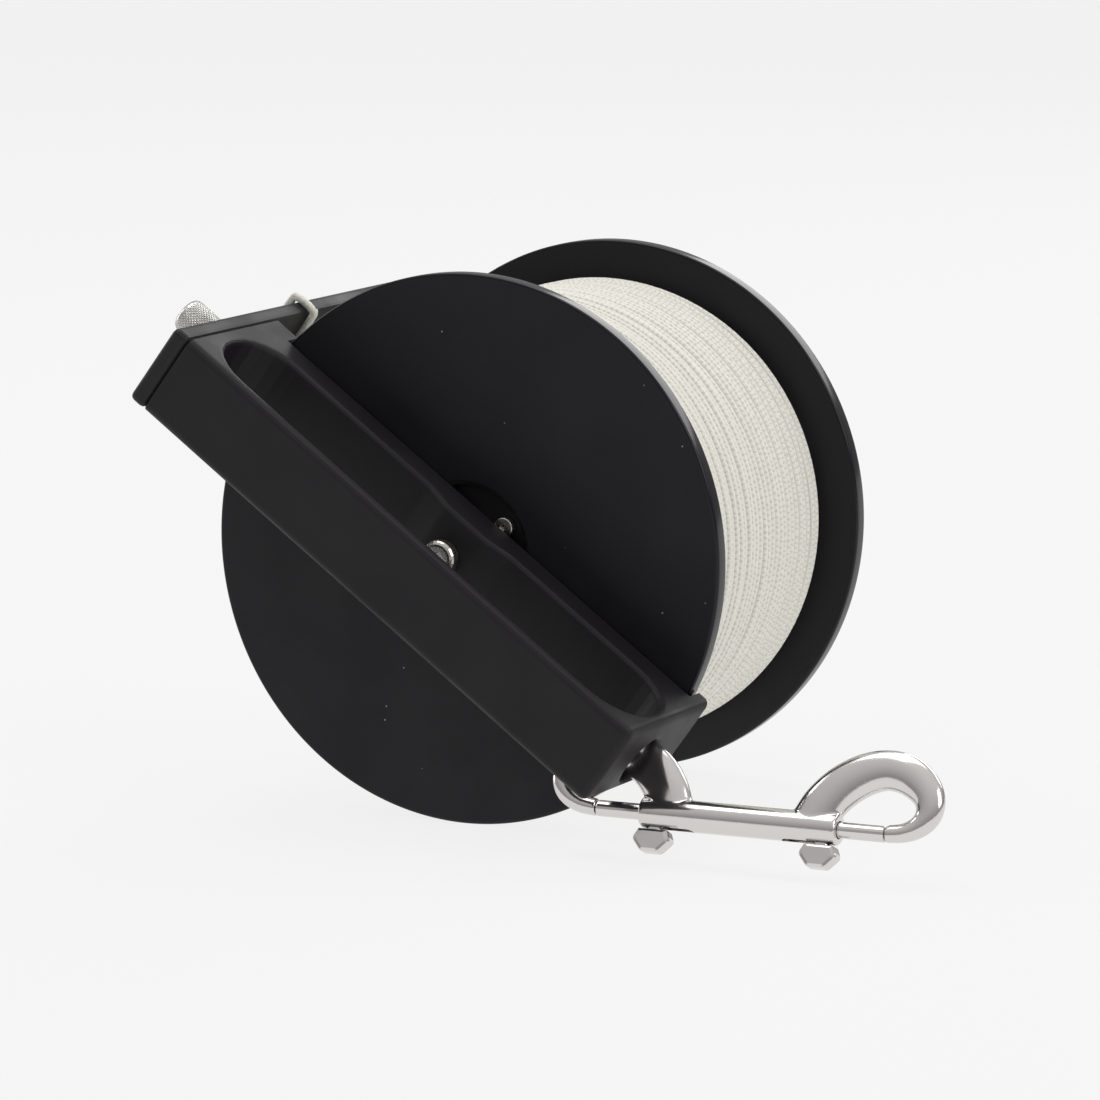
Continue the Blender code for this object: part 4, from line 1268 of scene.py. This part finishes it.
@dataclass
class LineEnd:
    """The line's own end, hitched round the guide plate and led on to the wound line."""

    wardrobe: Wardrobe
    tool: NodeTool
    handle: Handle
    plate: tuple[float, float] = (-88.1 * MM, -82.8 * MM)
    half_width: float = 12.2 * MM
    at: float = 69.0 * MM
    diameter: float = 2.2 * MM
    clearance: float = 0.12 * MM
    pack_radius: float = 65.5 * MM
    pack_clearance: float = 0.35 * MM
    # The loop's corners: how far in it leaves the long side, and where it crosses the corner.
    corner: float = 2.6 * MM
    corner_in: float = 0.9 * MM
    corner_back: float = 0.5 * MM
    loop_points: int = 110
    # The knot is a coil of eight points a turn beside the plate's inner face.
    knot_from_plate: float = 1.3 * MM
    knot_across: float = -6.5 * MM
    knot_radii: tuple[float, float] = (1.15 * MM, 1.6 * MM)
    knot_rise: float = 0.21 * MM
    knot_points: int = 23
    points_a_turn: int = 8
    # The lead lies on the wound line from here, one point every four degrees.
    lead_start: float = math.pi + math.radians(32)
    lead_step: float = math.radians(4.0)
    lead_back: float = 0.6 * MM
    lead_points: int = 7
    tail_points: int = 190

    def loop(self) -> list[Vector]:
        """The closed path round the plate.

        Returns:
            Its points, in place.
        """
        reach = self.diameter / 2 + self.clearance
        outer, inner = self.plate[0] - reach, self.plate[1] + reach
        edge = self.half_width + reach
        middle = (outer + inner) / 2
        points = []
        for x, z in (
            (outer, -edge + self.corner),
            (outer, edge - self.corner),
            (outer + self.corner_in, edge - self.corner_back),
            (middle, edge),
            (inner - self.corner_in, edge - self.corner_back),
            (inner, edge - self.corner),
            (inner, -edge + self.corner),
            (inner - self.corner_in, -edge + self.corner_back),
            (middle, -edge),
            (outer + self.corner_in, -edge + self.corner_back),
        ):
            points.append(self.handle.axes() @ Vector((x, self.at, z)))
        return smooth_path(points, self.loop_points, cyclic=True)

    def tail(self) -> list[Vector]:
        """The knot's coil and the lead that runs on to the wound line.

        Returns:
            Its points, in place.
        """
        axes = self.handle.axes()
        inner = self.plate[1] + self.diameter / 2 + self.clearance
        knot = Vector((inner + self.knot_from_plate, self.at, self.knot_across))
        out, back = self.knot_radii
        half = self.knot_points // 2
        points = []
        for k in range(self.knot_points):
            angle = TAU * k / self.points_a_turn
            turn = Vector((out * math.cos(angle), back * math.sin(angle), (k - half) * self.knot_rise))
            points.append(axes @ (knot + turn))
        wrap = self.pack_radius + self.diameter / 2 + self.pack_clearance
        for k in range(self.lead_points):
            angle = self.lead_start + self.lead_step * k
            behind = self.at + self.lead_back * (k + 1)
            points.append(axes @ Vector((wrap * math.cos(angle), behind, wrap * math.sin(angle))))
        return smooth_path(points, self.tail_points)

    def build(self) -> list[bpy.types.Object]:
        """Makes the loop, its knot and the lead as one mesh.

        Returns:
            The finished piece.
        """
        material = self.wardrobe.get(self.wardrobe.palette.line)
        sizes = {"Diameter": self.diameter, "Material": material}
        swept = []
        for points, cyclic in ((self.loop(), True), (self.tail(), False)):
            swept.append(self.tool.run("line_end", path_object("line_end_path", points, cyclic), sizes))
        made = mesh_object("line_end_hitch", joined("line_end_hitch", swept), material)
        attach(made, "frame")
        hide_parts("line_end")
        return [made]


@dataclass
class Spool:
    """The two flanges and the drum between them, with the winding knob behind."""

    wardrobe: Wardrobe
    nodes: dict[str, bpy.types.Object]
    edge: float = 0.8 * MM
    recess_radius: float = 19.0 * MM
    recess_depth: float = 3.2 * MM
    recess_chamfer: float = 1.3 * MM
    recess_edge: float = 0.15 * MM
    floor_corner: float = 0.2 * MM
    bore_radius: float = 8.8 * MM
    edge_steps: int = 6
    facets: int = 240

    def build_flange(self, node: str, outside_low: bool) -> bpy.types.Object:
        """Turns one flange with its recessed hub and rounded rim.

        Args:
            node: The CAD node that it stands for.
            outside_low: Whether its recessed face looks towards the handle.

        Returns:
            The finished piece.
        """
        low, high = (Vector(corner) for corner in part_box(node))
        outside, inside = (low.y, high.y) if outside_low else (high.y, low.y)
        step = math.copysign(1.0, inside - outside)
        floor = outside + step * self.recess_depth
        wall = self.recess_radius - self.recess_chamfer
        corners = [
            (self.bore_radius, floor),
            (wall, floor),
            (wall, outside + step * self.recess_chamfer),
            (self.recess_radius, outside),
            (high.x, outside),
            (high.x, inside),
            (self.bore_radius, inside),
            (self.bore_radius, floor),
        ]
        floor_corner, mouth, rim = self.floor_corner, self.recess_edge, self.edge
        radii = [0, floor_corner, mouth, mouth, rim, rim, floor_corner, 0]
        profile = rounded(corners, radii, self.edge_steps)
        rings = turned_rings(profile, self.facets, Matrix.Rotation(-math.pi / 2, 4, "X"))
        made = mesh_object(
            node + "_turned",
            surface(node + "_turned", rings, capped=False),
            self.wardrobe.get(self.wardrobe.palette.flange),
        )
        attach(made, "spool")
        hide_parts(node)
        return made

    def build(self) -> list[bpy.types.Object]:
        """Turns the flanges and dresses the drum and the winding knob's pieces.

        Returns:
            The finished pieces.
        """
        palette = self.wardrobe.palette
        flanges = [self.build_flange("front_flange", True), self.build_flange("rear_flange", False)]
        finishes = {
            "core_drum": palette.drum,
            "winding_knob": palette.handle,
            "knob_spindle": palette.steel,
            "knob_nut": palette.steel,
            "knob_washer": palette.nylon,
        }
        return flanges + self.wardrobe.dress_all(self.nodes, finishes)


@dataclass
class BoltSnap:
    """The polished double-ended snap: a cast body with an eye at each end and two sprung gates."""

    wardrobe: Wardrobe
    nodes: dict[str, bpy.types.Object]
    centre: Point = (93.8 * MM, 18.0 * MM, -61.4 * MM)
    lean: float = math.radians(25.0)
    barrel_half: float = 28.0 * MM
    barrel_radius: float = 4.2 * MM
    bore_radius: float = 2.4 * MM
    barrel_edge: float = 0.7 * MM
    barrel_facets: int = 64
    bore_ends: tuple[float, float] = (2.4 * MM, 34.0 * MM)
    bore_facets: int = 48
    # The slot that each thumb stud slides in, along the barrel's underside.
    track_ends: tuple[float, float] = (12.6 * MM, 26.3 * MM)
    track_half_width: float = 1.5 * MM
    track_depth: float = 7.0 * MM
    track_arc_steps: int = 8
    # The cast skin: how fine it is, and how far its inside corners are filled.
    skin_cell: float = 0.34 * MM
    skin_blend: float = 0.5
    skin_rounds: int = 10
    section_sides: int = 40
    eye_steps: int = 72
    # Each eye's section is thinned towards its hole and is a little fuller than an ellipse.
    eye_pinch: float = 0.10
    eye_square: float = 0.92
    # Along the barrel, above it, and the section's two half widths, in millimetres.
    eye_line: tuple[tuple[float, float, float, float], ...] = (
        (20.0, 1.0, 6.2, 3.6),
        (22.6, 6.4, 6.2, 3.6),
        (26.9, 11.4, 6.1, 3.5),
        (32.6, 15.2, 5.8, 3.4),
        (38.4, 16.9, 5.4, 3.3),
        (43.6, 16.4, 5.3, 3.3),
        (47.8, 14.3, 5.0, 3.2),
        (50.9, 11.2, 4.4, 3.1),
        (52.0, 8.0, 3.9, 3.0),
        (51.5, 5.0, 3.4, 2.8),
        (49.4, 2.5, 2.9, 2.6),
        (46.0, 0.8, 2.5, 2.4),
        (41.4, 0.1, 2.3, 2.3),
    )

    def axes(self) -> Matrix:
        """The snap's own axes: X along its barrel, Z up in its own plane."""
        return Matrix.Translation(self.centre) @ Matrix.Rotation(-self.lean, 4, "X")

    def eye(self, side: Side) -> bpy.types.Object:
        """One eye as its own closed skin.

        Args:
            side: Which end of the snap.

        Returns:
            The eye's object, on the snap's own axes.
        """
        sign = side.value
        line = [Vector((sign * x * MM, 0, up * MM)) for x, up, _, _ in self.eye_line]
        widths = [Vector((wide * MM, thick * MM, 0)) for _, _, wide, thick in self.eye_line]
        path = smooth_path(line, self.eye_steps)
        gaps = np.cumsum([0] + [(b - a).length for a, b in zip(line, line[1:])])
        reach = np.linspace(0, gaps[-1], len(path))
        rings = []
        for i, point in enumerate(path):
            wide = float(np.interp(reach[i], gaps, [w.x for w in widths]))
            thick = float(np.interp(reach[i], gaps, [w.y for w in widths]))
            along = (path[min(i + 1, len(path) - 1)] - path[max(i - 1, 0)]).normalized()
            if i == len(path) - 1:
                along = Vector((-sign, 0, 0))
            across = Vector((along.z, 0, -along.x))
            ring = []
            for k in range(self.section_sides):
                angle = TAU * k / self.section_sides
                cosine, sine = math.cos(angle), math.sin(angle)
                squeeze = 1.0 - self.eye_pinch * max(0.0, sign * cosine) ** 2
                level = Vector((0, thick * squeeze * math.copysign(abs(sine) ** self.eye_square, sine), 0))
                ring.append(point + across * wide * cosine + level)
            rings.append(ring)
        return mesh_object(f"eye_{side.name.lower()}", surface("eye", rings))

    def cutters(self, side: Side) -> list[bpy.types.Object]:
        """What is cut from the casting at one end: the gate's bore and the stud's track.

        Args:
            side: Which end of the snap.

        Returns:
            Both cutters, on the snap's own axes.
        """
        low, high = sorted(side.value * end for end in self.bore_ends)
        profile = [(0, low), (self.bore_radius, low), (self.bore_radius, high), (0, high)]
        bore = lathe("bore", profile, self.bore_facets, Matrix.Rotation(math.pi / 2, 4, "Y"))
        low, high = sorted(side.value * end for end in self.track_ends)
        half = self.track_half_width
        rings = []
        for depth in (-self.track_depth, 0.0):
            ring = []
            for middle, start in ((high - half, -math.pi / 2), (low + half, math.pi / 2)):
                for k in range(self.track_arc_steps + 1):
                    angle = start + math.pi * k / self.track_arc_steps
                    ring.append(Vector((middle + half * math.cos(angle), half * math.sin(angle), depth)))
            rings.append(ring)
        return [mesh_object("bore", bore), mesh_object("stud_track", surface("stud_track", rings))]

    def body(self) -> bpy.types.Mesh:
        """The cast body: barrel and both eyes blended into one skin, then bored for the gates.

        Returns:
            The mesh, in place.
        """
        half, radius = self.barrel_half, self.barrel_radius
        corners = [(0, -half), (radius, -half), (radius, half), (0, half)]
        turned = rounded(corners, [0, self.barrel_edge, self.barrel_edge, 0], 4)
        along = Matrix.Rotation(math.pi / 2, 4, "Y")
        barrel = mesh_object("barrel", lathe("barrel", turned, self.barrel_facets, along))
        eyes = [self.eye(side) for side in Side]
        add_booleans(barrel, eyes, "UNION")
        remesh = barrel.modifiers.new("Skin", "REMESH")
        remesh.mode = "VOXEL"
        remesh.voxel_size = self.skin_cell
        blend = barrel.modifiers.new("Blend", "SMOOTH")
        blend.factor = self.skin_blend
        blend.iterations = self.skin_rounds
        cutters = [cutter for side in Side for cutter in self.cutters(side)]
        add_booleans(barrel, cutters, "DIFFERENCE")
        bpy.context.view_layer.update()
        graph = bpy.context.evaluated_depsgraph_get()
        mesh = bpy.data.meshes.new_from_object(barrel.evaluated_get(graph), depsgraph=graph)
        for used in (barrel, *eyes, *cutters):
            bpy.data.objects.remove(used, do_unlink=True)
        mesh.transform(self.axes())
        for face in mesh.polygons:
            face.use_smooth = True
        mesh.set_sharp_from_angle(angle=CAST_SOFT_EDGE)
        return mesh

    def build(self) -> list[bpy.types.Object]:
        """Makes the body and dresses the gates and springs.

        Returns:
            The finished pieces.
        """
        wardrobe = self.wardrobe
        palette = wardrobe.palette
        made = mesh_object("snap_casting", self.body(), wardrobe.get(palette.casting))
        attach(made, "snap")
        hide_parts("snap_body")
        finishes = {}
        for side in Side:
            name = side.name.lower()
            finishes[f"gate_bolt_{name}"] = palette.casting
            finishes[f"gate_spring_{name}"] = palette.spring
        return [made, *wardrobe.dress_all(self.nodes, finishes)]


# Studio


@dataclass
class Studio:
    """The pale floor, the soft lights and the camera."""

    floor_z: float = -75.0 * MM
    floor_size: float = 30.0
    camera_at: Point = (0.7744, -1.5022, 0.2679)
    azimuth: float = math.radians(25.83)
    elevation: float = math.radians(8.80)
    lens: float = 212.7
    sensor: float = 36.0
    clip: tuple[float, float] = (0.1, 100.0)
    aim: Point = (0.0, 0.07, 0.0)
    floor_grey: float = 0.08
    floor_glow: float = 0.83
    # The room is dimmest near its floor and brightest overhead.
    room_low: float = 0.28
    room_high: float = 0.75

    def build_floor(self) -> None:
        """Lays the floor, which glows a little so that it stays pale and even."""
        half = self.floor_size / 2
        rings = [[Vector((x, y, self.floor_z)) for x in (-half, half)] for y in (-half, half)]
        mesh = surface("studio_floor", rings, closed=False, capped=False)
        if mesh.polygons[0].normal.z < 0:
            mesh.flip_normals()
        material = bpy.data.materials.new("pale_studio_floor")
        material.use_nodes = True
        shader = material.node_tree.nodes["Principled BSDF"]
        shader.inputs["Base Color"].default_value = (*[self.floor_grey] * 3, 1.0)
        shader.inputs["Roughness"].default_value = 1.0
        shader.inputs["Specular IOR Level"].default_value = 0.0
        shader.inputs["Emission Color"].default_value = (1.0, 1.0, 1.0, 1.0)
        shader.inputs["Emission Strength"].default_value = self.floor_glow
        mesh_object("studio_floor", mesh, material)

    def add_light(self, name: str, at: Point, size: tuple[float, float], power: float) -> None:
        """Hangs one soft rectangular light.

        Args:
            name: The light's name.
            at: Where it hangs, facing the reel.
            size: Its width and height.
            power: Its power in watts.
        """
        lamp = bpy.data.lights.new(name, "AREA")
        lamp.shape = "RECTANGLE"
        lamp.size, lamp.size_y = size
        lamp.energy = power
        made = bpy.data.objects.new(name, lamp)
        made.location = at
        made.rotation_euler = (Vector(self.aim) - Vector(at)).to_track_quat("-Z", "Y").to_euler()
        bpy.context.scene.collection.objects.link(made)

    def build_lights(self) -> None:
        """Hangs the key, fill and back lights and sets the room's own light."""
        self.add_light("overhead_softbox", (-0.3, 0.3, 1.6), (1.5, 1.0), 10.0)
        self.add_light("right_softbox", (1.6, -0.1, 0.9), (0.7, 1.0), 10.0)
        self.add_light("left_strip", (-1.6, 0.1, 0.5), (0.3, 1.4), 6.0)
        self.add_light("back_softbox", (0.3, 1.8, 0.9), (1.6, 0.7), 9.0)
        world = bpy.data.worlds.new("studio_room")
        world.use_nodes = True
        tree = world.node_tree
        toward = add_node(tree, "ShaderNodeTexCoord").outputs["Generated"]
        parts = add_node(tree, "ShaderNodeSeparateXYZ", links={"Vector": toward})
        level = add_node(
            tree,
            "ShaderNodeMapRange",
            {"From Min": 0.05, "From Max": 0.95, "To Min": self.room_low, "To Max": self.room_high},
            {"Value": parts.outputs["Z"]},
        )
        tree.links.new(level.outputs["Result"], tree.nodes["Background"].inputs["Strength"])
        tree.nodes["Background"].inputs["Color"].default_value = (1.0, 1.0, 1.0, 1.0)
        bpy.context.scene.world = world
        bpy.context.scene.view_settings.view_transform = "Standard"

    def build_camera(self) -> None:
        """Sets up the camera, to the right of the handle and a little above it."""
        data = bpy.data.cameras.new("reel_camera")
        data.lens = self.lens
        data.sensor_width = self.sensor
        data.clip_start, data.clip_end = self.clip
        camera = bpy.data.objects.new("reel_camera", data)
        level = math.cos(self.elevation)
        right, front = math.sin(self.azimuth) * level, math.cos(self.azimuth) * level
        back = Vector((right, -front, math.sin(self.elevation)))
        camera.location = self.camera_at
        camera.rotation_euler = (-back).to_track_quat("-Z", "Y").to_euler()
        bpy.context.scene.collection.objects.link(camera)
        bpy.context.scene.camera = camera

    def build(self) -> None:
        """Builds the whole studio."""
        self.build_floor()
        self.build_lights()
        self.build_camera()


def clear_scene() -> None:
    """Removes what a new file starts with."""
    for old in list(bpy.data.objects):
        bpy.data.objects.remove(old, do_unlink=True)


def main() -> None:
    """Builds the reel and its studio, and reports each piece."""
    clear_scene()
    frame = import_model()
    nodes = frame["nodes"]
    wardrobe = Wardrobe()
    handle = Handle(wardrobe, nodes)
    assemblies = (
        handle,
        SpoolLock(wardrobe, handle),
        AxleStack(wardrobe, nodes),
        Spool(wardrobe, nodes),
        HubScrews(wardrobe, screw_circle_tool()),
        WoundLine(wardrobe, wound_line_tool()),
        LineEnd(wardrobe, cord_tool(), handle),
        BoltSnap(wardrobe, nodes),
    )
    for assembly in assemblies:
        for piece in assembly.build():
            LOG.info("%s: %s, %d faces", type(assembly).__name__, piece.name, len(piece.data.polygons))
    Studio().build()


if __name__ == "__main__":
    logging.basicConfig(level=logging.INFO, format="%(name)s: %(message)s")
    main()
